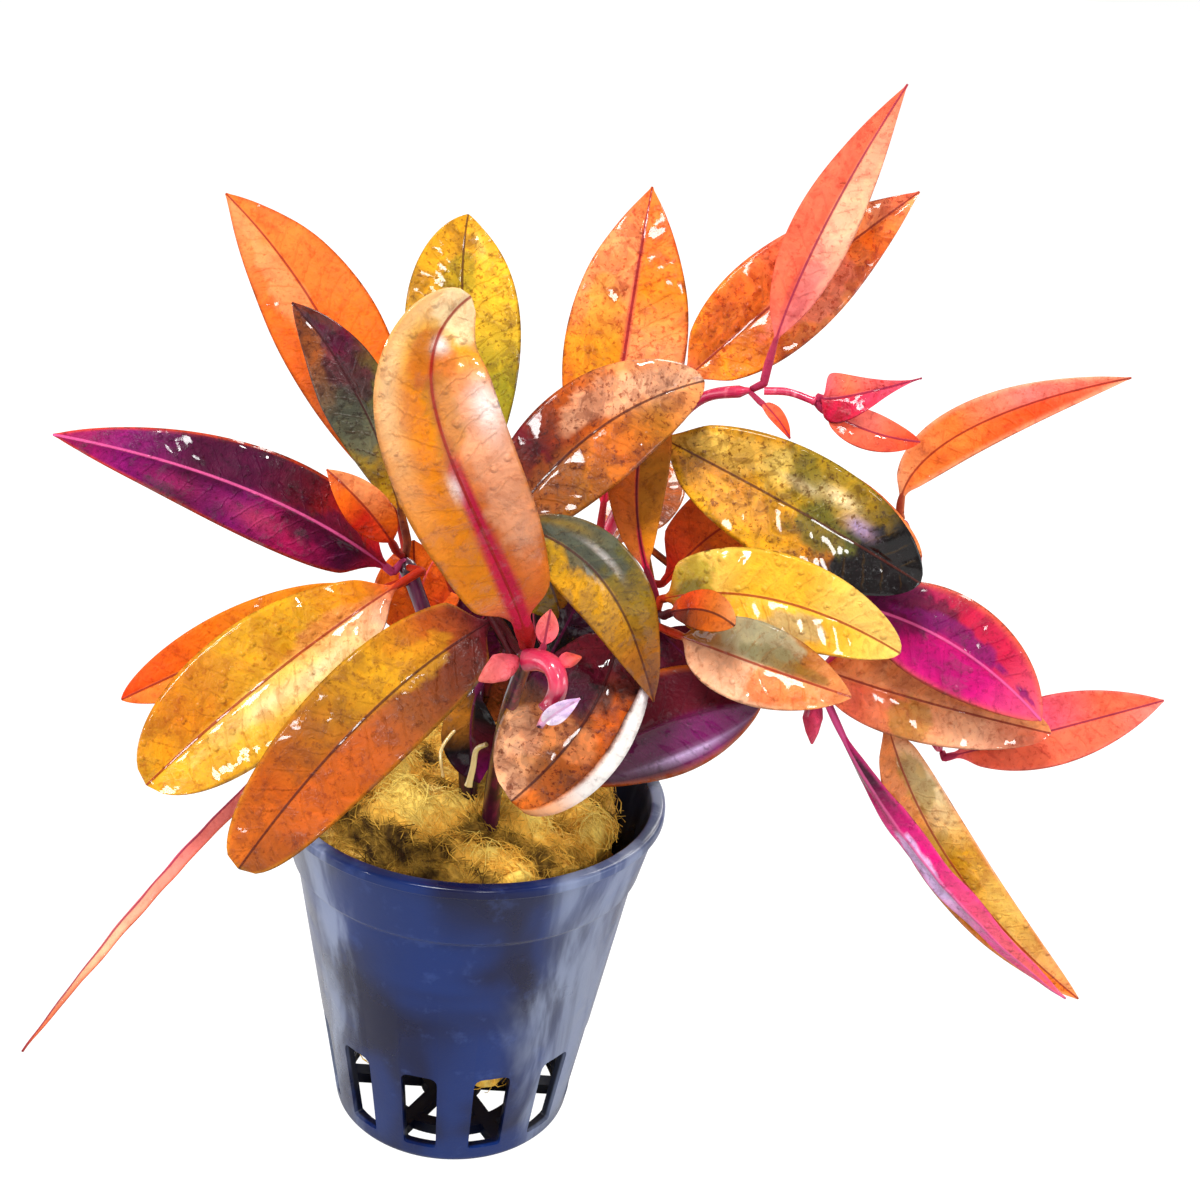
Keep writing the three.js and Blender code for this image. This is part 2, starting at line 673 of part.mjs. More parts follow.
// Thin pale roots that hang from the stems over the wool.
function buildRoots() {
  const cream = '#e8d8a0';
  addStem('root_left', [[-1.6, -8.6, 63.2], [-3.4, -11, 60.6], [-2.8, -12.5, 57.5]],
    [0.4, 0.3], cream, 5);
  addStem('root_middle', [[2.7, -17, 65.2], [1.5, -16.4, 64], [1.2, -16.6, 61.5], [0.8, -17, 59]],
    [0.4, 0.5], cream, 5);
}

buildPot();
buildWool();
buildStems();
buildUpperLeaves();
buildRightLeaves();
buildLeftLeaves();
buildBackLeaves();
buildShoots();
buildRoots();

export default group;
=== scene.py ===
# %% [markdown]
# Potted alternanthera sessilis
#
# A bushy aquarium plant with lance shaped leaves in orange, gold, brown and
# magenta. It stands in mineral wool in a small slotted net pot. The packed
# model gives the place and size of every part, and each part gets its fine
# surface here. Lengths are written in millimetres and become metres in the
# meshes. Node trees count in metres, apart from what a leaf's mesh carries.

# %% Load the frame
import json
import math

import bpy
import numpy as np
from mathutils import Matrix, Vector, noise


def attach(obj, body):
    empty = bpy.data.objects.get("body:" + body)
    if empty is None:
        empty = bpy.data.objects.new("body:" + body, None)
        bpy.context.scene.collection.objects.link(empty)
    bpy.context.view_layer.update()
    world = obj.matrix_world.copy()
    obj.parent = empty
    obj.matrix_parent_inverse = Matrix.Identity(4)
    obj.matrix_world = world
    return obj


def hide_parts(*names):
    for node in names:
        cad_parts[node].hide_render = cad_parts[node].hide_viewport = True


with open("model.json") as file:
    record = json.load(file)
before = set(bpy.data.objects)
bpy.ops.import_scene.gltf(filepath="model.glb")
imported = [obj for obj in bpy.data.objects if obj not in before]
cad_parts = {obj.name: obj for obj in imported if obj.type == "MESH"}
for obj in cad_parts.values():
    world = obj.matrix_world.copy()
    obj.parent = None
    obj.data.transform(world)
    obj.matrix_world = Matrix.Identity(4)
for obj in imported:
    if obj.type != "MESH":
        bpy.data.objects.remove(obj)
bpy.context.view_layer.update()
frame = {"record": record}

MM = 0.001

# %% [markdown]
# The camera
#
# The plant is seen from a little above, from 214 mm away, with a wide lens
# that makes the near leaves large. The camera leans 5.5 degrees to one side,
# so the pot leans in the picture. It is placed from the point it looks at, a
# distance and three angles, which are easy to change one by one.

# %% Camera
LOOK_AT = Vector((14.9, 0, 78.9)) * MM
DISTANCE = 213.6 * MM
ELEVATION = math.radians(22.05)
LEAN = math.radians(5.53)
VIEW_ANGLE = math.radians(40)


def make_camera():
    back = Vector((0, -math.cos(ELEVATION), math.sin(ELEVATION)))
    level = Vector((1, 0, 0))
    upright = back.cross(level)
    right = math.cos(LEAN) * level + math.sin(LEAN) * upright
    up = math.cos(LEAN) * upright - math.sin(LEAN) * level
    data = bpy.data.cameras.new("camera")
    data.sensor_width = 36
    data.lens = data.sensor_width / 2 / math.tan(VIEW_ANGLE / 2)
    data.clip_start = 0.01
    data.clip_end = 100
    camera = bpy.data.objects.new("camera", data)
    camera.matrix_world = Matrix.Translation(LOOK_AT + back * DISTANCE) @ Matrix(
        (right, up, back)).transposed().to_4x4()
    bpy.context.collection.objects.link(camera)
    bpy.context.scene.camera = camera
    print("camera at", [round(v, 3) for v in camera.location])


make_camera()

# %% [markdown]
# Colours and small sums
#
# Colours are written as a painter would mix them, as six hex digits, and are
# made linear before they are used, because the renderer adds light and not
# paint. A gradient runs through a few named stops.

# %% Colours


def colour(text):
    """Linear red, green and blue of a colour such as #E0A04A."""
    values = [int(text[i:i + 2], 16) / 255 for i in (1, 3, 5)]
    return np.array([v / 12.92 if v <= 0.04045 else ((v + 0.055) / 1.055) ** 2.4 for v in values])


def rgba(text):
    return (*colour(text), 1.0)


def gradient(stops, t):
    """Colours at the values t of a gradient of (place, colour) stops."""
    places = [place for place, _ in stops]
    mixed = np.array([colour(text) for _, text in stops])
    return np.stack([np.interp(t, places, mixed[:, i]) for i in range(3)], axis=-1)


def smooth(low, high, value):
    """0 below low, 1 above high, and a smooth step between them."""
    s = np.clip((value - low) / (high - low), 0, 1)
    return s * s * (3 - 2 * s)


def unit(vectors):
    return vectors / np.linalg.norm(vectors, axis=-1, keepdims=True)


def cloud(points, size, seed=0):
    """Soft noise between -1 and 1 at each point, with lumps of that size."""
    flat = points.reshape(-1, 3) / size + seed * 17.3
    values = [noise.noise(Vector(p)) for p in flat]
    return np.array(values).reshape(points.shape[:-1])


print("half way from red to gold", gradient([(0, "#C8200E"), (1, "#DFA01C")], 0.5).round(2))

# %% [markdown]
# Node trees
#
# Materials and Geometry Nodes are both trees of nodes. One class adds any
# node, with its settings first and its sockets after them. A second class
# wraps one number that flows through a tree, so that sums on it can be
# written as plain Python and become Math nodes.

# %% Node helpers


class Signal:
    """A number that flows through a node tree."""

    def __init__(self, tree, socket):
        self.tree = tree
        self.socket = socket

    def math(self, operation, *others):
        inputs = {i: value for i, value in enumerate((self, *others))}
        return self.tree.add("ShaderNodeMath", {"operation": operation}, inputs).out()

    def __add__(self, other):
        return self.math("ADD", other)

    __radd__ = __add__

    def __sub__(self, other):
        return self.math("SUBTRACT", other)

    def __rsub__(self, other):
        return self.tree.number(other).math("SUBTRACT", self)

    def __mul__(self, other):
        return self.math("MULTIPLY", other)

    __rmul__ = __mul__

    def __truediv__(self, other):
        return self.math("DIVIDE", other)

    def __rtruediv__(self, other):
        return self.tree.number(other).math("DIVIDE", self)

    def __abs__(self):
        return self.math("ABSOLUTE")

    def step(self, low, high):
        """A smooth step from 0 at low to 1 at high."""
        settings = {"interpolation_type": "SMOOTHSTEP"}
        inputs = {"Value": self, "From Min": low, "From Max": high}
        return self.tree.add("ShaderNodeMapRange", settings, inputs).out()


class Added:
    """A node that was added to a tree."""

    def __init__(self, tree, node):
        self.tree = tree
        self.node = node

    def out(self, name=0):
        return Signal(self.tree, self.node.outputs[name])


class Tree:
    """A node tree that nodes are added to by type, settings and inputs."""

    def __init__(self, tree):
        self.tree = tree

    def add(self, kind, settings=None, inputs=None):
        node = self.tree.nodes.new(kind)
        for name, value in (settings or {}).items():
            setattr(node, name, value)
        for name, value in (inputs or {}).items():
            self.put(node.inputs[name], value)
        return Added(self, node)

    def put(self, socket, value):
        if isinstance(value, Added):
            value = value.out()
        if isinstance(value, Signal):
            self.tree.links.new(value.socket, socket)
        else:
            socket.default_value = value

    def number(self, value):
        node = self.tree.nodes.new("ShaderNodeValue")
        node.outputs[0].default_value = value
        return Signal(self, node.outputs[0])

    def mix(self, share, first, second, blend="MIX"):
        """Mixes two colours, or multiplies them, by a share of the second."""
        settings = {"data_type": "RGBA", "blend_type": blend, "clamp_factor": True}
        added = self.add("ShaderNodeMix", settings, {0: share, 6: first, 7: second})
        return added.out(2)

    def noise(self, where, scale, detail=3.0, rough=0.55, warp=0.0):
        inputs = {"Vector": where, "Scale": scale, "Detail": detail, "Roughness": rough,
                  "Distortion": warp}
        return self.add("ShaderNodeTexNoise", None, inputs).out("Fac")


def new_material(name):
    material = bpy.data.materials.new(name)
    material.use_nodes = True
    material.node_tree.nodes.clear()
    return material, Tree(material.node_tree)


print("node helpers ready")

# %% [markdown]
# Meshes
#
# A finished piece stands at the origin, unturned, with its place in its mesh, as the model's own
# nodes do. It replaces the plain node of its name and moves with the one body of this plant.

# %% Mesh helpers
SLOTS = {part["node"]: part["material_slot"] for part in frame["record"]["subparts"]}


def mesh_object(name, points, faces, material):
    """An object from points in millimetres, with smooth faces."""
    mesh = bpy.data.meshes.new(name)
    mesh.from_pydata((np.asarray(points) * MM).tolist(), [], faces)
    mesh.update()
    mesh.shade_smooth()
    if material:
        mesh.materials.append(material)
    obj = bpy.data.objects.new(name, mesh)
    bpy.context.collection.objects.link(obj)
    return obj


def carry(mesh, name, kind, values):
    """Stores one value for each point of a mesh."""
    attribute = mesh.attributes.new(name, kind, "POINT")
    field = {"FLOAT": "value", "FLOAT_VECTOR": "vector", "FLOAT_COLOR": "color"}[kind]
    attribute.data.foreach_set(field, np.ascontiguousarray(values, np.float32).ravel())


def settle(obj, node):
    """The finished piece stands for its node and moves with the plant."""
    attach(obj, "root")
    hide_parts(node)


def made_by_nodes(obj, tree, values):
    """Runs a Geometry Nodes tree on the object and keeps the plain mesh it makes."""
    modifier = obj.modifiers.new("maker", "NODES")
    modifier.node_group = tree
    for item in tree.interface.items_tree:
        if item.item_type == "SOCKET" and item.in_out == "INPUT" and item.name in values:
            modifier[item.identifier] = values[item.name]
    depsgraph = bpy.context.evaluated_depsgraph_get()
    mesh = bpy.data.meshes.new_from_object(obj.evaluated_get(depsgraph))
    obj.modifiers.clear()
    obj.data = mesh


def geometry_tree(name, inputs):
    """A Geometry Nodes tree with named inputs, and its group input node."""
    tree = bpy.data.node_groups.new(name, "GeometryNodeTree")
    kinds = {"number": "NodeSocketFloat", "count": "NodeSocketInt", "object": "NodeSocketObject",
             "finish": "NodeSocketMaterial"}
    tree.interface.new_socket("Geometry", in_out="INPUT", socket_type="NodeSocketGeometry")
    for label, kind in inputs.items():
        tree.interface.new_socket(label, in_out="INPUT", socket_type=kinds[kind])
    tree.interface.new_socket("Geometry", in_out="OUTPUT", socket_type="NodeSocketGeometry")
    nodes = Tree(tree)
    return nodes, nodes.add("NodeGroupInput")


def end_tree(nodes, geometry, finish):
    """Ends a tree in real geometry with its material."""
    real = nodes.add("GeometryNodeRealizeInstances", None, {"Geometry": geometry})
    done = nodes.add("GeometryNodeSetMaterial", None, {"Geometry": real, "Material": finish})
    nodes.add("NodeGroupOutput", None, {"Geometry": done})
    return nodes.tree


print("slots", sorted(set(SLOTS.values())))

# %% [markdown]
# Pot plastic
#
# The net pot is thin black polypropylene, moulded, wet and lit by a cool sky, so it reads as a dark
# blue with a soft sheen. A painted sheen lies on its two flanks in tall pale streaks, made by a noise
# stretched upwards, and is left out in front. The inside of the wall is painted nearly black, as
# painted shade. The shine is uneven where drops ran down.

# %% Pot plastic
STAIN_SCALE = 240
MOULD_GRAIN_SCALE = 4200
STREAK_SCALE = 130
STREAK_STRETCH = (1, 1, 0.2)
INSIDE_FOOT_RADIUS = 0.0161
INSIDE_SLOPE = 0.17


def pot_plastic():
    material, tree = new_material("pot_plastic_finish")
    where = tree.add("ShaderNodeTexCoord").out("Object")
    broad = tree.noise(where, 48, detail=2, warp=0.8)
    stains = tree.noise(where, STAIN_SCALE, detail=5, rough=0.65)
    grain = tree.noise(where, MOULD_GRAIN_SCALE, detail=2)
    base = tree.mix(broad.step(0.36, 0.66), rgba("#0A0C30"), rgba("#0E2A68"))
    base = tree.mix(stains.step(0.56, 0.7) * 0.2, base, rgba("#4A60A0"))
    parts = tree.add("ShaderNodeSeparateXYZ", None, {"Vector": where})
    height = parts.out("Z")
    tall = tree.add("ShaderNodeMapping", None, {"Vector": where, "Scale": STREAK_STRETCH}).out()
    streaks = tree.noise(tall, STREAK_SCALE, detail=4, warp=0.6)
    # Pale streaks laid on both flanks of the pot, stronger away from its middle: a painted sheen.
    painted_flank_sheen = (abs(parts.out("X") + 0.001) * 80 + streaks * 1.1).step(1.35, 1.85)
    painted_flank_sheen = painted_flank_sheen * (streaks.step(0.42, 0.6) * 0.42 + 0.16)
    base = tree.mix(painted_flank_sheen, base, rgba("#A0ACC8"))
    flat = tree.add("ShaderNodeVectorMath", {"operation": "MULTIPLY"}, {0: where, 1: (1, 1, 0)})
    radius = tree.add("ShaderNodeVectorMath", {"operation": "LENGTH"}, {0: flat.out()}).out("Value")
    # Inside the wall the plastic is painted nearly black, away from the cool sky: painted shade.
    inside = (height * INSIDE_SLOPE + INSIDE_FOOT_RADIUS - radius).step(-0.0002, 0.0002)
    base = tree.mix(inside * 0.85, base, rgba("#04040A"))
    rough = broad.step(0.3, 0.7) * 0.14 + stains.step(0.5, 0.75) * 0.18 + 0.24
    bump = tree.add("ShaderNodeBump", None, {
        "Strength": 0.25, "Distance": 0.0002, "Height": grain * 0.25 + stains})
    shader = tree.add("ShaderNodeBsdfPrincipled", None, {
        "Base Color": base, "Roughness": rough, "Normal": bump.out("Normal"),
        "Specular IOR Level": 0.12, "Coat Weight": 0.4, "Coat Roughness": 0.1})
    tree.add("ShaderNodeOutputMaterial", None, {"Surface": shader})
    return material


POT_PLASTIC = pot_plastic()
print("made", POT_PLASTIC.name)

# %% [markdown]
# Mineral wool finish
#
# The wool is a mat of fine mineral fibres, stained gold and brown by the water and by the roots. Its
# colour also carries painted shade and light by height: deep places are painted nearly black, and the
# tops of the clumps a pale yellow. Broad noise picks the stain and moves that shading, fine streaks
# stand for strands, and it has no gloss apart from a wet glint.

# %% Wool finish


def wool_finish():
    material, tree = new_material("wool_finish")
    where = tree.add("ShaderNodeTexCoord").out("Object")
    lift = tree.add("ShaderNodeAttribute", {"attribute_name": "lift"}).out("Fac")
    broad = tree.noise(where, 120, detail=4, rough=0.6, warp=1.2)
    fine = tree.noise(where, 1100, detail=4, rough=0.7)
    # Low and deep points are painted dark and high ones pale: painted shade and painted light by
    # height.
    high = lift + (broad - 0.5) * 1.6
    base = tree.mix(high.step(-0.2, 0.32), rgba("#3A2408"), rgba("#FFC850"))
    base = tree.mix(high.step(0.3, 0.75), base, rgba("#FFE070"))
    base = tree.mix(broad.step(0.58, 0.72) * 0.6, base, rgba("#FFF09C"))
    base = tree.mix(fine.step(0.58, 0.4) * 0.22, base, rgba("#8A6420"), "MULTIPLY")
    bump = tree.add("ShaderNodeBump", None, {
        "Strength": 0.5, "Distance": 0.0005, "Height": fine})
    shader = tree.add("ShaderNodeBsdfPrincipled", None, {
        "Base Color": base, "Roughness": fine.step(0.3, 0.7) * 0.25 + 0.6,
        "Normal": bump.out("Normal"), "Specular IOR Level": 0.2})
    tree.add("ShaderNodeOutputMaterial", None, {"Surface": shader})
    return material


WOOL_FINISH = wool_finish()
print("made", WOOL_FINISH.name)

# %% [markdown]
# Stem finishes
#
# The stems are juicy and smooth, with a wet skin. The old ones are a purple
# that is nearly black, the young ones are crimson, and woody below a height.
# Streaks follow their length, which a noise stretched upwards makes.

# %% Stem finishes
WOODY = "#30061E"
WOODY_BLEND = 0.012


def stem_finish(name, dark, light, streak, woody_below=0.0):
    material, tree = new_material(name)
    where = tree.add("ShaderNodeTexCoord").out("Object")
    long_way = tree.add("ShaderNodeMapping", None, {"Vector": where, "Scale": (1, 1, 0.18)}).out()
    streaks = tree.noise(long_way, 900, detail=3)
    blotch = tree.noise(where, 220, detail=2)
    base = tree.mix(blotch.step(0.35, 0.65), rgba(dark), rgba(light))
    base = tree.mix(streaks.step(0.56, 0.74) * 0.7, base, rgba(streak))
    height = tree.add("ShaderNodeSeparateXYZ", None, {"Vector": where}).out("Z")
    woody = height.step(woody_below, woody_below - WOODY_BLEND)
    base = tree.mix(woody, base, rgba(WOODY))
    bump = tree.add("ShaderNodeBump", None, {
        "Strength": 0.35, "Distance": 0.0002, "Height": streaks})
    shader = tree.add("ShaderNodeBsdfPrincipled", None, {
        "Base Color": base, "Roughness": streaks * 0.2 + 0.2, "Normal": bump.out("Normal"),
        "Coat Weight": 0.8, "Coat Roughness": 0.05,
        "Subsurface Weight": 0.15, "Subsurface Radius": (0.001, 0.0004, 0.0004)})
    tree.add("ShaderNodeOutputMaterial", None, {"Surface": shader})
    return material


STEM_FINISHES = {
    "stem_dark": stem_finish("stem_dark_finish", "#180414", "#4A0830", "#8A1848"),
    "stem_pink": stem_finish("stem_pink_finish", "#B01444", "#E8365E", "#FF8A9A", 0.086),
    "twig_pink": stem_finish("twig_pink_finish", "#B01444", "#E8365E", "#FF8A9A"),
    "root_cream": stem_finish("root_finish", "#B88C3C", "#E0C478", "#8A6024"),
}
print("made", [m.name for m in STEM_FINISHES.values()])

# %% [markdown]
# Leaf finishes
#
# Each leaf carries its own paint: a colour at every point of its mesh, mixed
# from a few stops along the blade and some soft patches. The finish adds what
# is finer than that, from three lengths that the mesh carries too, the way
# across from the midrib, the way along it and the way in from the margin:
# a dark red midrib, side veins that run to the margin, freckles, and a wet
# skin. A leaf also lets light through, so a part of the light goes through a
# Translucent shader, whose colour is the same over the whole leaf. The darker
# the leaf is, the less of the light passes.

# %% Leaf finishes
VEIN_GAP = 2.7
VEIN_SLANT = 0.8
CLOUD_SCALE = 190
BLOTCH_SCALE = 520
FRECKLE_SCALE = 1500
GRAIN_SCALE = 5200
BEAD_SCALE = 760
BRIGHTER = (1.5, 1.4, 1.25, 1)


def leaf_finish(name, glow, midrib, vein, dark, share=0.2):
    material, tree = new_material(name)
    where = tree.add("ShaderNodeTexCoord").out("Object")
    paint = tree.add("ShaderNodeAttribute", {"attribute_name": "paint"}).out("Color")
    blade = tree.add("ShaderNodeAttribute", {"attribute_name": "blade"}).out("Vector")
    parts = tree.add("ShaderNodeSeparateXYZ", None, {"Vector": blade})
    across = abs(parts.out("X"))
    along = parts.out("Y")
    margin = parts.out("Z")
    film = tree.add("ShaderNodeAttribute", {"attribute_name": "film"}).out("Fac")
    mottle = tree.add("ShaderNodeAttribute", {"attribute_name": "mottle"}).out("Fac")

    broad = tree.noise(where, CLOUD_SCALE, detail=4, rough=0.6, warp=0.8)
    middle = tree.noise(where, BLOTCH_SCALE, detail=4, rough=0.62, warp=0.5)
    fine = tree.noise(where, FRECKLE_SCALE, detail=3, rough=0.7)
    grain = tree.noise(where, GRAIN_SCALE, detail=2)
    base = tree.mix(broad.step(0.47, 0.6) * mottle * 0.32, paint, rgba(dark), "MULTIPLY")
    base = tree.mix(middle.step(0.5, 0.4) * mottle * 0.5, base, BRIGHTER, "MULTIPLY")
    base = tree.mix(middle.step(0.55, 0.61) * mottle * 0.36, base, rgba(dark), "MULTIPLY")
    base = tree.mix(fine.step(0.56, 0.64) * mottle * 0.55, base, rgba(dark), "MULTIPLY")

    slope = along - across * VEIN_SLANT + across * across * 0.03 + broad * 2.6
    beside = abs((slope / VEIN_GAP).math("FRACT") - 0.5) * VEIN_GAP
    veins = (1.0 - beside.step(0.03, 0.24)) * margin.step(0.4, 1.8) * across.step(0.2, 0.8)
    rib = 1.0 - (across - margin * 0.008).step(0.03, 0.17)
    base = tree.mix(veins * 0.14, base, rgba(vein))
    base = tree.mix(rib * 0.85, base, rgba(midrib))

    puddle = (broad * 0.5 + middle * 0.5 + film * 0.42).step(0.64, 0.7)
    cells = tree.add("ShaderNodeTexVoronoi", {"feature": "F1"}, {
        "Vector": where, "Scale": BEAD_SCALE, "Randomness": 1.0})
    chance = tree.add("ShaderNodeSeparateColor", None, {"Color": cells.out("Color")}).out("Red")
    beads = (1.0 - cells.out("Distance").step(0.12, 0.4)) * chance.step(0.5, 0.6) * puddle
    height = beads * 1.1 + broad * 2.2 + middle * 0.9 + fine * 0.3 + grain * 0.05
    height = height - veins * 0.25 - rib * 0.4
    bump = tree.add("ShaderNodeBump", None, {
        "Strength": 0.6, "Distance": 0.0004, "Height": height})
    shader = tree.add("ShaderNodeBsdfPrincipled", None, {
        "Base Color": base, "Roughness": fine * 0.3 + 0.36 - puddle * 0.22,
        "Normal": bump.out("Normal"), "Specular IOR Level": 0.12,
        "Coat Weight": puddle * 0.95, "Coat Roughness": 0.05, "Coat IOR": 1.42})
    through = tree.add("ShaderNodeBsdfTranslucent", None, {"Color": rgba(glow)})
    light = tree.add("ShaderNodeRGBToBW", None, {"Color": base}).out().step(0.0, 0.2)
    leaf = tree.add("ShaderNodeMixShader", None, {0: light * share, 1: shader, 2: through})
    tree.add("ShaderNodeOutputMaterial", None, {"Surface": leaf})
    return material


LEAF_FINISHES = {
    "orange": leaf_finish("leaf_orange_finish", "#FF7010", "#8A1A14", "#B04010", "#B85818"),
    "gold": leaf_finish("leaf_gold_finish", "#F89410", "#98180C", "#B06410", "#C08020"),
    "olive": leaf_finish("leaf_olive_finish", "#D89808", "#4A1A10", "#705008", "#907020"),
    "brown": leaf_finish("leaf_brown_finish", "#D05C08", "#3A0A10", "#501C08", "#8A4818"),
    "pink": leaf_finish("leaf_pink_finish", "#FF4038", "#8A1840", "#B02838", "#C05050"),
    "purple": leaf_finish("leaf_purple_finish", "#C00860", "#F060A0", "#38042C", "#80306C"),
    "plum": leaf_finish("leaf_plum_finish", "#60063C", "#5A0C38", "#28041C", "#502040", 0.1),
    "pale": leaf_finish("leaf_pale_finish", "#F0E0FF", "#D8A0C8", "#D8C8E8", "#C8B8E0"),
}
print("made", len(LEAF_FINISHES), "leaf finishes")

# %% [markdown]
# The pot
#
# A net pot is a cup turned round one axis, with a rim, a collar that flares
# above a small step, and twelve slots round the foot. It could be cut from a
# lathe shape by hand. Here Geometry Nodes turn the profile, place one cutter
# twelve times on a circle and cut once, because the rule is that simple, and
# the cutter, the number of slots and the angle of the first stay inputs.

# %% Pot sizes
POT_HEIGHT = 50
RIM_RADIUS = 26.5
RIM_DEPTH = 1.6
COLLAR_TOP_RADIUS = 25.8
COLLAR_FOOT_RADIUS = 23.9
COLLAR_FOOT_Z = 40.4
BODY_TOP_RADIUS = 23.3
FOOT_RADIUS = 16.7
WALL = 1.2
FLOOR = 1.6
SLOTS_ROUND = 12
SLOT_FIRST_ANGLE = -12
SLOT_HALF_ANGLE = 7.5
SLOT_FOOT_Z = 2.6
SLOT_TOP_Z = 15.8
POT_SEGMENTS = 144
CORNER_STEPS = 4


def body_radius(z):
    return FOOT_RADIUS + (BODY_TOP_RADIUS - FOOT_RADIUS) * np.minimum(z / COLLAR_FOOT_Z, 1)


def rounded(corners):
    """An outline whose corners (x, y, radius) are rounded, except those of radius 0."""
    outline = []
    for i, (x, y, radius) in enumerate(corners):
        here = Vector((x, y))
        if radius == 0:
            outline.append(here)
            continue
        before = Vector(corners[i - 1][:2])
        after = Vector(corners[(i + 1) % len(corners)][:2])
        start = here + (before - here).normalized() * radius
        end = here + (after - here).normalized() * radius
        for k in range(CORNER_STEPS + 1):
            s = k / CORNER_STEPS
            outline.append((1 - s) ** 2 * start + 2 * s * (1 - s) * here + s * s * end)
    return outline


pot_profile = rounded([
    (0, 0, 0),
    (FOOT_RADIUS, 0, 1.0),
    (BODY_TOP_RADIUS, COLLAR_FOOT_Z - 0.5, 0.3),
    (COLLAR_FOOT_RADIUS, COLLAR_FOOT_Z, 0.3),
    (COLLAR_TOP_RADIUS, POT_HEIGHT - RIM_DEPTH, 0.25),
    (RIM_RADIUS, POT_HEIGHT - RIM_DEPTH + 0.2, 0.25),
    (RIM_RADIUS, POT_HEIGHT, 0.5),
    (COLLAR_TOP_RADIUS - WALL, POT_HEIGHT, 0.4),
    (BODY_TOP_RADIUS - WALL, COLLAR_FOOT_Z - 0.5, 0.8),
    (FOOT_RADIUS - WALL, FLOOR, 0.8),
    (0, FLOOR, 0),
])
print("pot profile points", len(pot_profile))

# %% Pot cutters
SLOT_CUT_FROM = 12
SLOT_CUT_TO = 27
SPOKES = 6
SPOKE_ANGLE = 3
SPOKE_HALF = 1.1
FLOOR_RINGS = ((4.5, 9.6), (11.4, 14.9))
SECTOR_STEPS = 10


def prism(name, outline, low, high, place):
    """A closed prism on an outline; place turns (u, v, depth) into x, y, z."""
    count = len(outline)
    points = [place(u, v, low) for u, v in outline] + [place(u, v, high) for u, v in outline]
    faces = [tuple(reversed(range(count))), tuple(range(count, 2 * count))]
    faces += [(i, (i + 1) % count, count + (i + 1) % count, count + i) for i in range(count)]
    return mesh_object(name, points, faces, None)


def slot_outline():
    foot_half = float(body_radius(SLOT_FOOT_Z)) * math.tan(math.radians(SLOT_HALF_ANGLE))
    top_half = float(body_radius(SLOT_TOP_Z)) * math.tan(math.radians(SLOT_HALF_ANGLE))
    return rounded([
        (-foot_half, SLOT_FOOT_Z, 0.5),
        (foot_half, SLOT_FOOT_Z, 0.5),
        (top_half, SLOT_TOP_Z, 1.4),
        (-top_half, SLOT_TOP_Z, 1.4),
    ])


def floor_sector(inner, outer, middle):
    """The outline of one opening between two spokes of the floor."""
    outline = []
    for radius, direction in ((outer, 1), (inner, -1)):
        half = math.pi / SPOKES - math.asin(SPOKE_HALF / radius)
        for k in range(SECTOR_STEPS + 1):
            angle = math.radians(middle) + direction * half * (2 * k / SECTOR_STEPS - 1)
            outline.append((radius * math.cos(angle), radius * math.sin(angle)))
    return outline


slot_cutter = prism("slot_cutter", slot_outline(), SLOT_CUT_FROM, SLOT_CUT_TO,
                    lambda u, v, depth: (u, -depth, v))
floor_cutters = [
    prism("floor_cutter", floor_sector(inner, outer, SPOKE_ANGLE + 360 / SPOKES * (i + 0.5)),
          -1, FLOOR + 1, lambda u, v, depth: (u, v, depth))
    for i in range(SPOKES)
    for inner, outer in FLOOR_RINGS
]
print("floor openings", len(floor_cutters))

# %% Pot tree


def lathe(nodes, profile, segments):
    """Turns a line of points in the XZ plane round Z, as a welded mesh."""
    count = nodes.add("GeometryNodeAttributeDomainSize", {"component": "MESH"},
                      {"Geometry": profile}).out("Point Count")
    grid = nodes.add("GeometryNodeMeshGrid", None, {
        "Vertices X": segments + 1, "Vertices Y": count}).out("Mesh")
    index = nodes.add("GeometryNodeInputIndex").out()
    turn = (index / count).math("FLOOR")
    place = index.math("MODULO", count)
    sampled = nodes.add("GeometryNodeSampleIndex", {"data_type": "FLOAT_VECTOR"}, {
        "Geometry": profile, "Value": nodes.add("GeometryNodeInputPosition").out(),
        "Index": place})
    turned = nodes.add("ShaderNodeVectorRotate", {"rotation_type": "Z_AXIS"}, {
        "Vector": sampled.out(), "Angle": turn * (2 * math.pi) / segments})
    cup = nodes.add("GeometryNodeSetPosition", None, {
        "Geometry": grid, "Position": turned.out()}).out()
    return nodes.add("GeometryNodeMergeByDistance", None, {
        "Geometry": cup, "Distance": 0.00001}).out()


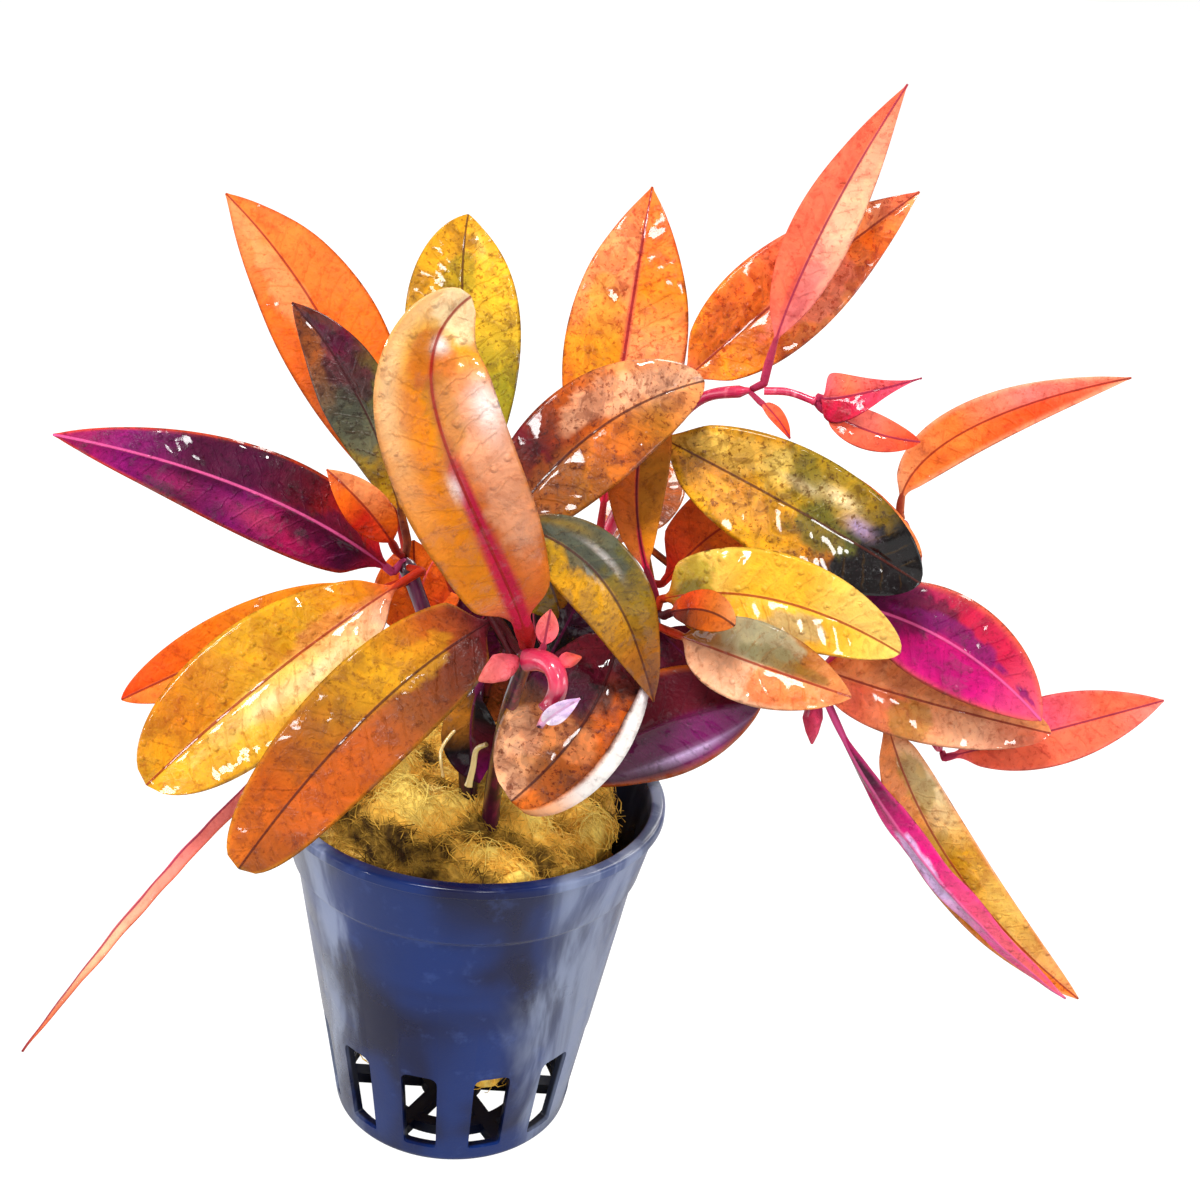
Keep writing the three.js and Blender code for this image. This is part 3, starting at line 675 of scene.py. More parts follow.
def pot_tree():
    nodes, given = geometry_tree("net_pot", {
        "Segments": "count", "Slots": "count", "First Angle": "number",
        "Slot Cutter": "object", "Floor Cutter": "object", "Finish": "finish"})
    cup = lathe(nodes, given.out("Geometry"), given.out("Segments"))
    circle = nodes.add("GeometryNodeMeshCircle", None, {
        "Vertices": given.out("Slots"), "Radius": 0.001}).out()
    index = nodes.add("GeometryNodeInputIndex").out()
    angle = index * (2 * math.pi) / given.out("Slots") + given.out("First Angle")
    turn = nodes.add("ShaderNodeCombineXYZ", None, {"Z": angle}).out()
    centred = nodes.add("GeometryNodeSetPosition", None, {
        "Geometry": circle, "Position": (0, 0, 0)}).out()
    slot = nodes.add("GeometryNodeObjectInfo", None, {"Object": given.out("Slot Cutter")})
    slots = nodes.add("GeometryNodeInstanceOnPoints", None, {
        "Points": centred, "Instance": slot.out("Geometry"), "Rotation": turn}).out()
    floor = nodes.add("GeometryNodeObjectInfo", None, {"Object": given.out("Floor Cutter")})
    cutters = nodes.add("GeometryNodeJoinGeometry", None, {"Geometry": slots})
    nodes.put(cutters.node.inputs["Geometry"], floor.out("Geometry"))
    solid = nodes.add("GeometryNodeRealizeInstances", None, {"Geometry": cutters})
    cut = nodes.add("GeometryNodeMeshBoolean", {"operation": "DIFFERENCE", "solver": "EXACT"}, {
        "Mesh 1": cup, "Mesh 2": solid}).out("Mesh")
    return end_tree(nodes, cut, given.out("Finish"))


def join_objects(objects, name):
    """One object with the meshes of several, which are then removed."""
    points, faces = [], []
    for obj in objects:
        start = len(points)
        points += [vertex.co / MM for vertex in obj.data.vertices]
        faces += [tuple(start + i for i in face.vertices) for face in obj.data.polygons]
        bpy.data.objects.remove(obj)
    return mesh_object(name, points, faces, None)


def make_pot():
    mesh = bpy.data.meshes.new("pot_line")
    points = [(p.x * MM, 0, p.y * MM) for p in pot_profile]
    mesh.from_pydata(points, [(i, i + 1) for i in range(len(points) - 1)], [])
    pot = bpy.data.objects.new("net_pot", mesh)
    bpy.context.collection.objects.link(pot)
    floor_cutter = join_objects(floor_cutters, "floor_cutter")
    made_by_nodes(pot, pot_tree(), {
        "Segments": POT_SEGMENTS, "Slots": SLOTS_ROUND, "First Angle": math.radians(SLOT_FIRST_ANGLE),
        "Slot Cutter": slot_cutter, "Floor Cutter": floor_cutter, "Finish": POT_PLASTIC})
    bpy.data.objects.remove(floor_cutter)
    bpy.data.objects.remove(slot_cutter)
    pot.data.shade_smooth()
    pot.data.set_sharp_from_angle(angle=math.radians(35))
    settle(pot, "pot")
    print("pot faces", len(pot.data.polygons))


make_pot()

# %% [markdown]
# The mineral wool
#
# A plug of wool fills the pot and swells over the rim in clumps, with dark hollows between them. The
# plug is a skin over rings, as in the model, moved by noise at three sizes, with a few hollows and
# clumps listed as x, y, reach and depth, and tufts that hang down behind the slots. Thousands of
# short bent fibres are then scattered over it by Geometry Nodes, most of them on top, and made real.

# %% Wool rings
WOOL_EDGE_Z = 48.4
WOOL_FOOT_Z = 16.6
WOOL_WALL_FOOT_Z = 17.4
WOOL_WALL_TOP_Z = 46.5
WOOL_WALL_GAP = 0.6
COLLAR_FLARE = 0.19
SUNK_ANGLE = 12
SUNK_DEPTH = 2.6
DOME_HEIGHT = 6.2
DOME_REACH = 24
AROUND = 200


def wool_radius(z, angle):
    """Radius of the plug in the pot. It shrinks from the collar on the right."""
    inside = body_radius(z) - WALL - WOOL_WALL_GAP
    flare = np.maximum(z - COLLAR_FOOT_Z, 0) * COLLAR_FLARE
    right = np.maximum(np.cos(angle + math.radians(SUNK_ANGLE)), 0)
    return inside + flare - right * SUNK_DEPTH * smooth(36, 40, z)


def wool_top(x, y):
    spread = np.hypot(x + 3, y - 3) / DOME_REACH
    dome = DOME_HEIGHT * np.maximum(1 - spread ** 1.7, 0)
    lumps = 0.7 * np.sin(0.55 * x + 1) * np.cos(0.47 * y) + 0.35 * np.sin(1.1 * y + 0.9 * x)
    return WOOL_EDGE_Z + dome - 0.06 * x + lumps


def wool_ring(radius, angles, height=None):
    """One ring of the plug, level or, without a height, on its domed top."""
    x, y = radius * np.cos(angles), radius * np.sin(angles)
    z = wool_top(x, y) if height is None else np.full(AROUND, height)
    return np.stack([x, y, z], axis=-1)


def wool_rings():
    """Rings over the underside, up the wall and in over the top."""
    angles = np.arange(AROUND) * 2 * math.pi / AROUND
    foot = wool_radius(WOOL_FOOT_Z, angles)
    edge = wool_radius(47, angles) - 0.3
    under = [wool_ring(foot * share, angles, WOOL_FOOT_Z) for share in (0.3, 0.6, 0.9)]
    wall = [wool_ring(wool_radius(z, angles), angles, z)
            for z in np.linspace(WOOL_WALL_FOOT_Z, WOOL_WALL_TOP_Z, 40)]
    top = [wool_ring(edge * share, angles) for share in np.linspace(1, 0.02, 60)]
    return np.array(under + wall + top)


def wool_faces(rings):
    faces = [tuple(reversed(range(AROUND)))]
    for i in range(rings - 1):
        low, high = i * AROUND, (i + 1) * AROUND
        for j in range(AROUND):
            k = (j + 1) % AROUND
            faces.append((low + j, low + k, high + k, high + j))
    faces.append(tuple((rings - 1) * AROUND + j for j in range(AROUND)))
    return faces


print("wool rings", len(wool_rings()))

# %% Wool plug
LUMP_HEIGHT = 2.6
TUFT_LENGTH = 7
HOLLOWS = [(-1, -19.5, 3.6, 2.8), (-9, -17, 2.2, 2.4), (10.5, -18, 4.5, -1.6), (-8, -10, 4, -0.8)]


def wool_plug():
    """The plug's points and faces, and how high each point lies, which sets its painted shade and
    light.
    """
    points = wool_rings()
    lumps = cloud(points, 5.5, 1)
    knots = cloud(points, 2.1, 2)
    strands = cloud(points, 0.9, 3)
    side = smooth(48, 46, points[..., 2])
    lift = LUMP_HEIGHT * lumps + 1.1 * np.abs(knots) + 0.5 * strands - 0.9
    near_wall = smooth(0.8, 1.0, np.hypot(points[..., 0], points[..., 1]) / 22)
    lift = np.maximum(lift, -2.4) - 1.2 * near_wall
    for x, y, reach, depth in HOLLOWS:
        away = ((points[..., 0] - x) ** 2 + (points[..., 1] - y) ** 2) / reach ** 2
        lift = lift - depth * np.exp(-away)
    tufts = np.maximum(cloud(points, 6, 8) + 0.1, 0)
    hang = TUFT_LENGTH * tufts * smooth(19.5, 17, points[..., 2])
    points[..., 2] += lift * (1 - side) - hang
    inward = 0.5 * np.abs(lumps) + 0.4 * np.abs(knots) + 0.2 * strands
    points[..., :2] *= (1 - (inward * side / 20))[..., None]
    # Points are painted darker the lower they lie, and the sides mid dark: painted shade in the
    # hollows and painted light on the clumps.
    height_shading = np.clip(lift / LUMP_HEIGHT + 0.5, 0, 1) * (1 - side) + 0.35 * side
    return points.reshape(-1, 3), wool_faces(len(points)), height_shading


print("wool hollows and clumps", len(HOLLOWS))

# %% Wool fibres
FIBRES_PER_AREA = 2.5e6
FIBRE_LENGTH = 0.0036
FIBRE_RADIUS = 0.00006


def fibre_tree():
    """Bent fibres scattered over a mesh, most of them on its upper faces."""
    nodes, given = geometry_tree("wool_fibres", {
        "Density": "number", "Length": "number", "Radius": "number", "Seed": "count",
        "Finish": "finish"})
    skin = given.out("Geometry")
    normal = nodes.add("ShaderNodeSeparateXYZ", None, {
        "Vector": nodes.add("GeometryNodeInputNormal").out()}).out("Z")
    spots = nodes.add("GeometryNodeDistributePointsOnFaces", {"distribute_method": "RANDOM"}, {
        "Mesh": skin, "Density": given.out("Density") * (normal.step(-0.1, 0.4) * 0.9 + 0.1),
        "Seed": given.out("Seed")})
    half = given.out("Length") * 0.5
    start = nodes.add("ShaderNodeCombineXYZ", None, {"X": half * -1.0}).out()
    end = nodes.add("ShaderNodeCombineXYZ", None, {"X": half}).out()
    middle = nodes.add("ShaderNodeCombineXYZ", None, {"Y": half * 0.35, "Z": half * 0.8}).out()
    arc = nodes.add("GeometryNodeCurveQuadraticBezier", None, {
        "Resolution": 3, "Start": start, "Middle": middle, "End": end}).out()
    ring = nodes.add("GeometryNodeCurvePrimitiveCircle", None, {
        "Resolution": 3, "Radius": given.out("Radius")}).out()
    fibre = nodes.add("GeometryNodeCurveToMesh", None, {
        "Curve": arc, "Profile Curve": ring, "Fill Caps": True}).out()
    spin = nodes.add("FunctionNodeRandomValue", {"data_type": "FLOAT_VECTOR"}, {
        "Min": (-0.5, -0.5, 0), "Max": (0.5, 0.5, 6.28), "Seed": 5}).out()
    size = nodes.add("FunctionNodeRandomValue", {"data_type": "FLOAT"}, {
        2: 0.4, 3: 1.3, "Seed": 9}).out(1)
    turned = nodes.add("FunctionNodeRotateRotation", {"rotation_space": "LOCAL"}, {
        "Rotation": spots.out("Rotation"), "Rotate By": spin}).out()
    fibres = nodes.add("GeometryNodeInstanceOnPoints", None, {
        "Points": spots.out("Points"), "Instance": fibre, "Rotation": turned,
        "Scale": size}).out()
    both = nodes.add("GeometryNodeJoinGeometry", None, {"Geometry": fibres})
    nodes.put(both.node.inputs["Geometry"], skin)
    return end_tree(nodes, both, given.out("Finish"))


def make_wool():
    points, faces, height_shading = wool_plug()
    wool = mesh_object("wool", points, faces, WOOL_FINISH)
    carry(wool.data, "lift", "FLOAT", height_shading)
    made_by_nodes(wool, fibre_tree(), {
        "Density": FIBRES_PER_AREA, "Length": FIBRE_LENGTH, "Radius": FIBRE_RADIUS, "Seed": 4,
        "Finish": WOOL_FINISH})
    wool.data.shade_smooth()
    settle(wool, "mineral_wool")
    wool.data.calc_loop_triangles()
    print("wool triangles", len(wool.data.loop_triangles))


make_wool()

# %% [markdown]
# Stems, twigs and roots
#
# Each stem follows one smooth path from its foot in the wool to the node
# where its leaves grow, and swells a little there. The path is a Catmull-Rom
# curve through a few points, given with the radius at its foot and at its tip.
# Geometry Nodes sweep a round section along it, because the same rule serves
# the six stems, the four twigs and the roots.

# %% Stem paths
STEM_STEPS = 48
STEM_SIDES = 20
NODE_SWELLING = 0.25
STEMS = {
    "stem_left": ([(0, -7, 45), (0, -7, 54), (-2, -6.5, 65), (-7, -4.5, 76), (-10.5, -1.5, 82.5)],
                  (1.3, 1.0)),
    "stem_front": ([(3.5, -10, 45), (3.5, -10.5, 53), (5, -20, 70), (7.5, -30, 84)], (1.2, 0.9)),
    "stem_right": ([(6.5, -6, 45), (6.5, -6, 53), (12, -7, 66), (19.5, -8, 76), (22, -9, 81.5)],
                   (1.3, 1.0)),
    "stem_pink_high": ([(5, 0, 45), (5, 0, 54), (10, 6, 70), (18.5, 8.5, 94), (25, 6, 105),
                        (31, 2.5, 107.8)], (1.3, 0.65)),
    "stem_back": ([(-1, 1, 45), (-1, 1, 54), (-0.5, 6, 66), (0, 8, 82)], (1.3, 0.9)),
    "stem_low_right": ([(10, 1, 45), (10, 1, 52), (22, 7, 61), (40, 8, 69), (46, 6.5, 67)],
                       (1.3, 1.0)),
    "twig_far_right": ([(47.7, 7.6, 67.2), (54, 8.4, 66), (59.5, 7, 62.8), (63.6, 6, 59)],
                       (0.8, 0.5)),
    "twig_peach_right": ([(46.6, 8.2, 68.6), (53, 10.5, 78), (56.3, 8.5, 85), (53, 6.2, 91.5)],
                         (0.9, 0.6)),
    "bud_twig": ([(32.6, 1.2, 108.2), (35.7, 1, 108.4), (39, 0, 107.8)], (0.5, 0.5)),
    "shoot_twig": ([(7.4, -31, 83.4), (8.9, -31.8, 83.9), (10.5, -33.2, 83.8),
                    (11.2, -34, 82.4), (11, -33.6, 80.4), (10.2, -33.7, 78.6)], (1.3, 1.0)),
    "root_left": ([(-1.6, -8.6, 63.2), (-3.4, -11, 60.6), (-2.8, -12.5, 57.5)], (0.25, 0.2)),
    "root_middle": ([(2.7, -17, 65.2), (1.5, -16.4, 64), (1.2, -16.6, 61.5), (0.8, -17, 59)],
                    (0.3, 0.45)),
}


def path_point(points, share):
    """The point at share, 0 to 1, of the smooth path through the points."""
    p = [np.array(point, float) for point in points]
    place = min(share, 0.999999) * (len(p) - 1)
    i = int(place)
    s = place - i
    x1, x2 = p[i], p[i + 1]
    x0 = p[i - 1] if i > 0 else 2 * x1 - x2
    x3 = p[i + 2] if i + 2 < len(p) else 2 * x2 - x1
    d0, d1, d2 = (np.linalg.norm(b - a) ** 0.5 for a, b in ((x0, x1), (x1, x2), (x2, x3)))
    t1 = ((x1 - x0) / d0 - (x2 - x0) / (d0 + d1) + (x2 - x1) / d1) * d1
    t2 = ((x2 - x1) / d1 - (x3 - x1) / (d1 + d2) + (x3 - x2) / d2) * d1
    return (x1 + t1 * s + (3 * (x2 - x1) - 2 * t1 - t2) * s * s
            + (2 * (x1 - x2) + t1 + t2) * s ** 3)


print("paths", len(STEMS), "and the left stem ends at", path_point(STEMS["stem_left"][0], 1).round(1))

# %% Stem tree


def stem_tree():
    nodes, given = geometry_tree("stem", {
        "Foot Radius": "number", "Tip Radius": "number", "Swelling": "number",
        "Sides": "count", "Finish": "finish"})
    curve = nodes.add("GeometryNodeMeshToCurve", None, {"Mesh": given.out("Geometry")}).out()
    share = nodes.add("GeometryNodeSplineParameter").out("Factor")
    grow = given.out("Tip Radius") - given.out("Foot Radius")
    swell = share.step(0.9, 1.0) * given.out("Swelling") + 1.0
    radius = (given.out("Foot Radius") + grow * share) * swell
    radius = radius * (1.0 - share.step(0.975, 1.0) * 0.6)
    thick = nodes.add("GeometryNodeSetCurveRadius", None, {
        "Curve": curve, "Radius": radius}).out()
    ring = nodes.add("GeometryNodeCurvePrimitiveCircle", None, {
        "Resolution": given.out("Sides"), "Radius": 1.0}).out()
    swept = nodes.add("GeometryNodeCurveToMesh", None, {
        "Curve": thick, "Profile Curve": ring, "Scale": radius, "Fill Caps": True}).out()
    return end_tree(nodes, swept, given.out("Finish"))


STEM_TREE = stem_tree()


def make_stem(name, points, radii):
    line = [path_point(points, k / STEM_STEPS) * MM for k in range(STEM_STEPS + 1)]
    mesh = bpy.data.meshes.new(name + "_line")
    mesh.from_pydata([tuple(p) for p in line], [(k, k + 1) for k in range(STEM_STEPS)], [])
    stem = bpy.data.objects.new(name + "_skin", mesh)
    bpy.context.collection.objects.link(stem)
    finish = "twig_pink" if name.startswith("twig_") else SLOTS[name]
    made_by_nodes(stem, STEM_TREE, {
        "Foot Radius": radii[0] * MM, "Tip Radius": radii[1] * MM,
        "Swelling": NODE_SWELLING, "Sides": STEM_SIDES, "Finish": STEM_FINISHES[finish]})
    stem.data.shade_smooth()
    settle(stem, name)
    return len(stem.data.polygons)


print("stem faces", sum(make_stem(name, points, radii) for name, (points, radii) in STEMS.items()))

# %% [markdown]
# How a leaf is shaped
#
# A leaf is a thin blade on a round stalk. Its midrib is a Bezier curve
# through three or four points, its width swells and narrows along that curve,
# and each half folds up from the midrib and bends on to the margin. One half
# may also roll over near its margin, so that its other face shows. These few
# rules give every leaf its own shape from a handful of numbers.

# %% Leaf curves
ROWS = 72
COLUMNS = 24
BEND_STEPS = 400
STALK_ROW = 0.8
STALK_START = -0.3


def bezier(points):
    """Four handles of the curve through three or four points."""
    p = [np.array(point, float) for point in points]
    if len(p) == 3:
        bend = 2 * p[1] - (p[0] + p[2]) / 2
        return [p[0], p[0] + (bend - p[0]) * 2 / 3, p[2] + (bend - p[2]) * 2 / 3, p[2]]
    return [p[0], (-5 * p[0] + 18 * p[1] - 9 * p[2] + 2 * p[3]) / 6,
            (2 * p[0] - 9 * p[1] + 18 * p[2] - 5 * p[3]) / 6, p[3]]


def on_curve(handles, t):
    a, b, c, d = handles
    t = t[:, None]
    place = (1 - t) ** 3 * a + 3 * (1 - t) ** 2 * t * b + 3 * (1 - t) * t * t * c + t ** 3 * d
    along = (1 - t) ** 2 * (b - a) + 2 * (1 - t) * t * (c - b) + t * t * (d - c)
    return place, unit(along)


def blade_half(leaf, t):
    """Half width of the blade at t, 0 at the stem and 1 at the tip."""
    p, q = leaf["shape"]
    s = np.clip((t - leaf["petiole"]) / (1 - leaf["petiole"]), 0, 1)
    peak = p / (p + q)
    full = s ** p * (1 - s) ** q / (peak ** p * (1 - peak) ** q)
    return leaf["width"] / 2 * full


def across_reach(u, fold, curl, roll):
    """Sideways and upward reach of a half blade at the shares u, and its slope there."""
    fine = np.linspace(0, 1, BEND_STEPS + 1)
    turn = np.radians(fold + curl * fine + roll * smooth(0.62, 0.8, fine))
    sideways = np.concatenate([[0], np.cumsum(np.cos(turn[:-1]) / BEND_STEPS)])
    upward = np.concatenate([[0], np.cumsum(np.sin(turn[:-1]) / BEND_STEPS)])
    return np.interp(u, fine, sideways), np.interp(u, fine, upward), np.interp(u, fine, turn)


def leaf_line(leaf):
    """Places and directions down the stalk and the midrib, with t for each row."""
    t = np.linspace(0, 1, ROWS) ** 0.92
    places, along = on_curve(bezier(leaf["midrib"]), t)
    name, share = leaf["stem"]
    start = path_point(STEMS[name][0], share)
    reach = np.linalg.norm(places[0] - start)
    rows = max(int(reach / STALK_ROW), 4)
    towards = start + (places[0] - start) * 0.5
    stalk, stalk_along = on_curve(
        [start, towards, places[0] - along[0] * reach * 0.16, places[0]],
        np.linspace(0, 1, rows + 1)[:-1])
    return (np.vstack([stalk, places]), np.vstack([stalk_along, along]),
            np.concatenate([np.linspace(STALK_START, -0.01, rows), t]))


print("a half folded by 12 degrees reaches", across_reach(1, 12, -8, 0)[0].round(3))

# %% [markdown]
# The skin of a leaf
#
# Rings round the whole leaf, over the top and back underneath, make one closed
# skin: a tube at the stalk, which flattens into a blade with a groove on top
# and a rib below. The margin waves, and the blade puckers between the veins.
# A flat plane with a picture on it would be simpler, but it has no thickness,
# and its edges would not catch the light.

# %% Leaf skin
BLADE_THICKNESS = 0.32
RIB_GROWTH = 1.1
GROOVE_DEPTH = 0.12
GROOVE_WIDTH = 0.4
PUCKER_HEIGHT = 0.05
WAVES_PER_LENGTH = 0.42


def ring_shares():
    """Shares across the blade round one ring, over the top and back, and the face of each."""
    u = np.concatenate([np.linspace(-1, 1, COLUMNS + 1), np.linspace(1, -1, COLUMNS + 1)[1:-1]])
    above = np.concatenate([np.ones(COLUMNS + 1), -np.ones(COLUMNS - 1)])
    return u, above


def bent_halves(leaf, t, u):
    """Reach, rise and slope of both bent halves, for a blade whose half width is 1.

    A roll, the third number of a bend, grows from the foot of the blade to its middle.
    """
    reach = np.zeros((len(t), len(u)))
    rise = np.zeros((len(t), len(u)))
    slope = np.zeros((len(t), len(u)))
    rolled = np.interp(t, [0, 0.25, 0.45], [0.2, 0.7, 1])
    for mask, bend in ((u < 0, leaf["left"]), (u >= 0, leaf["right"])):
        fold, curl, roll = (*bend, 0)[:3]
        for i, share in enumerate(rolled if roll else rolled[:1]):
            rows = i if roll else slice(None)
            x, z, turn = across_reach(np.abs(u[mask]), fold, curl, roll * share)
            reach[rows, mask] = x * np.sign(u[mask])
            rise[rows, mask] = z
            slope[rows, mask] = turn
    return reach, rise, slope


def ruffles(leaf, run, half, u, inward, edge):
    """The waves of the margin, and the puckers between the side veins."""
    phase = leaf["seed"] * 1.7 + (u > 0) * 2.1
    wave = leaf["wave"] * np.sin(run * WAVES_PER_LENGTH + phase) * u ** 2 * smooth(0, 3, half)
    ripple = PUCKER_HEIGHT * np.sin((run - inward * VEIN_SLANT) * 2 * math.pi / VEIN_GAP)
    return wave, leaf["pucker"] * ripple * smooth(0.3, 1.5, edge) * smooth(0.3, 1.4, inward)


def skin_height(leaf, t, u, above, inward):
    """How far the skin is above the blade's sheet: a groove on top, a rib below."""
    body = BLADE_THICKNESS * np.sqrt(np.maximum(1 - np.abs(u) ** 3, 0))
    rib = (RIB_GROWTH * leaf["stalk"] * np.clip(1 - t, 0, 1) ** 0.8)[:, None]
    rib = rib * np.exp(-(inward / (0.35 + rib * 0.6)) ** 2)
    groove = -GROOVE_DEPTH * np.exp(-(inward / GROOVE_WIDTH) ** 2)
    return np.where(above > 0, groove, -body - rib)


print("points in a ring", len(ring_shares()[0]))

# %% Leaf rings


def leaf_points(leaf):
    """Points of the leaf's rings, and what each point carries for its paint."""
    places, along, t = leaf_line(leaf)
    facing = np.array(leaf["facing"], float)
    up = unit(facing - (along @ facing)[:, None] * along)
    side = np.cross(along, up)
    run = np.concatenate([[0], np.cumsum(np.linalg.norm(np.diff(places, axis=0), axis=1))])
    run = run - run[np.argmin(np.abs(t))]
    half = blade_half(leaf, np.maximum(t, 0))
    stalk = leaf["stalk"] * np.interp(t, [STALK_START, 0, 1], [0.8, 1, 0.9])
    flat = smooth(leaf["petiole"] * 0.35, leaf["petiole"] + 0.1, t)
    wide = np.maximum(half, 0.12)[:, None]
    u, above = ring_shares()
    reach, rise, slope = bent_halves(leaf, t, u)
    inward = wide * np.abs(u)
    edge = wide * (1 - np.abs(u))
    wave, pucker = ruffles(leaf, run[:, None], half[:, None], u, inward, edge)
    skin = skin_height(leaf, t, u, above, inward)
    blade_reach = wide * reach - skin * np.sin(slope) * np.sign(u)
    blade_rise = wide * rise + wave + pucker + skin * np.cos(slope)
    tube_reach = stalk[:, None] * np.sin(math.pi / 2 * u)
    tube_rise = stalk[:, None] * (above * np.cos(math.pi / 2 * u) - 1)
    share = flat[:, None]
    sideways = tube_reach * (1 - share) + blade_reach * share
    upward = tube_rise * (1 - share) + blade_rise * share
    points = (places[:, None] + side[:, None] * sideways[..., None]
              + up[:, None] * upward[..., None])
    drift = cloud(points, 9, leaf["seed"]) * leaf["drift"] + cloud(points, 3, 5) * 0.16
    drift = drift * (flat * smooth(0, 0.3, t))[:, None]
    points = points + up[:, None] * drift[..., None]
    grid = {"t": np.broadcast_to(t[:, None], reach.shape),
            "u": np.broadcast_to(u, reach.shape),
            "above": np.broadcast_to(above, reach.shape),
            "flat": np.broadcast_to(share, reach.shape),
            "across": wide * u, "run": np.broadcast_to(run[:, None], reach.shape), "edge": edge}
    return points, grid


def ring_faces(rows, count):
    faces = [tuple(range(count))]
    for i in range(rows - 1):
        for j in range(count):
            k = (j + 1) % count
            faces.append((i * count + j, (i + 1) * count + j, (i + 1) * count + k, i * count + k))
    faces.append(tuple(reversed([(rows - 1) * count + j for j in range(count)])))
    return faces


print("faces of a leaf", len(ring_faces(ROWS, len(ring_shares()[0]))), "and its stalk")

# %% [markdown]
# How a leaf is painted
#
# A small palette of named tones is mixed as a painter would. Each half of the blade runs through two
# to seven tones from its foot to its tip, because the two halves of a folded leaf catch different
# light and dry differently, so these runs carry painted light and shade as well as the leaf's own
# colour. The other face has one run of tones. Then come a margin, a band beside the midrib, and
# patches with ragged edges. Most patches are the leaf's own colour, and the black ones at the tip of
# the olive leaf on the right are painted shade. A sheen is a painted reflection: a patch with soft
# edges, laid on where a film of water would mirror the pale room. Two last numbers say how wet the
# leaf is, and how mottled.

# %% Tones
TONES = {
    "white": "#FFF6F0", "cream": "#FFE6B0", "straw": "#FBD064", "yellow": "#F6BC2C",
    "gold": "#DFA01C", "amber": "#E08410", "orange": "#EE6C12", "tangerine": "#FA7C30",
    "peach": "#F89A5C", "blush": "#FABA90", "coral": "#F66C4C", "salmon": "#F88478",
    "rose": "#F25A78", "flame": "#EE4A18", "red": "#C8200E", "rust": "#BC5614",
    "copper": "#D06A20", "bronze": "#A8661A", "umber": "#84441A", "chestnut": "#642812",
    "maroon": "#560A1A", "crimson": "#C01440", "magenta": "#F01886", "fuchsia": "#FD4096",
    "wine": "#A00E4C", "violet": "#78085C", "plum": "#44042A", "black": "#0C0406",
    "olive": "#A08018", "moss": "#585C20", "green": "#9C9620", "sage": "#A8A27C",
    "slate": "#4E5444", "lilac": "#E2C2F2",
}
print("tones", len(TONES))


def run_of(tones, t):
    """Colours at t of a run of tones: (place, tone) stops, or names at even places."""
    if isinstance(tones, str):
        names = tones.split()
        tones = [(i / (len(names) - 1), name) for i, name in enumerate(names)]
    return gradient([(place, TONES[tone]) for place, tone in tones], t)


print("between red and gold", run_of("red gold", 0.5).round(2))

# %% Leaf paint


def patch_mask(grid, points, spot, seed):
    """1 inside a ragged patch at a share along and across the blade, with two reaches."""
    t0, u0, reach_t, reach_u = spot
    ragged = cloud(points, 3.2, seed) * 0.5 + cloud(points, 1.1, seed + 1) * 0.3
    away = np.sqrt(((grid["t"] - t0) / reach_t) ** 2 + ((grid["u"] - u0) / reach_u) ** 2)
    return smooth(1.12, 0.88, away + ragged)


def laid_on(shade, tone, share):
    """The shade with a share of a tone laid on it."""
    return shade + (colour(TONES[tone]) - shade) * share[..., None]


def paint_leaf(leaf, points, grid):
    """Colour, wetness and mottle of each point of a leaf."""
    look = leaf["look"]
    t = np.clip(grid["t"], 0, 1)
    seen = (grid["above"] > 0) == (look["seen"] == "upper")
    halves = smooth(-0.12, 0.12, grid["u"])[..., None]
    left = run_of(look["left"], t)
    shade = left + (run_of(look.get("right", look["left"]), t) - left) * halves
    shade = np.where(seen[..., None], shade, run_of(look["other"], t))
    if "margin" in look:
        tone, wide, strength = look["margin"]
        shade = laid_on(shade, tone, smooth(wide, 0.0, grid["edge"]) * strength)
    if "band" in look:
        tone, wide, reach = look["band"]
        width = wide * np.clip(1 - t / reach, 0, 1) + 0.01
        shade = laid_on(shade, tone, smooth(1.0, 0.5, np.abs(grid["across"]) / width))
    for number, (spot, tone, strength) in enumerate(look.get("patches", ())):
        mask = patch_mask(grid, points, spot, leaf["seed"] + 3 * number)
        shade = laid_on(shade, tone, mask * strength * seen)
    # Sheens are painted reflections: soft patches laid on where a film of water would mirror the
    # room, most of them white or pale.
    for (t0, u0, reach_t, reach_u), tone, strength in look.get("sheens", ()):
        away = ((grid["t"] - t0) / reach_t) ** 2 + ((grid["u"] - u0) / reach_u) ** 2
        shade = laid_on(shade, tone, np.exp(-1.6 * away) * strength * seen)
    shade = shade * (1 + 0.16 * cloud(points, 4.5, leaf["seed"] + 50))[..., None]
    shade = laid_on(shade, look["stalk"], 1 - grid["flat"])
    film = np.full(t.shape, look.get("film", 0.35)) * grid["flat"]
    for number, (spot, strength) in enumerate(look.get("wet", ())):
        mask = patch_mask(grid, points, spot, leaf["seed"] + 70 + number)
        film = film + (strength - film) * mask
    mottle = look.get("mottle", 1.0) * np.where(seen, 1, look.get("hidden_mottle", 1.0))
    return np.clip(shade, 0, 1), film, mottle


def carry_paint(mesh, shade, lengths, film, mottle):
    opaque = np.concatenate([shade, np.ones(shade.shape[:-1] + (1,))], axis=-1)
    carry(mesh, "paint", "FLOAT_COLOR", opaque)
    carry(mesh, "blade", "FLOAT_VECTOR", lengths)
    carry(mesh, "film", "FLOAT", film)
    carry(mesh, "mottle", "FLOAT", mottle)


print("leaf paint ready")

# %% Make one leaf
leaf_faces = {}


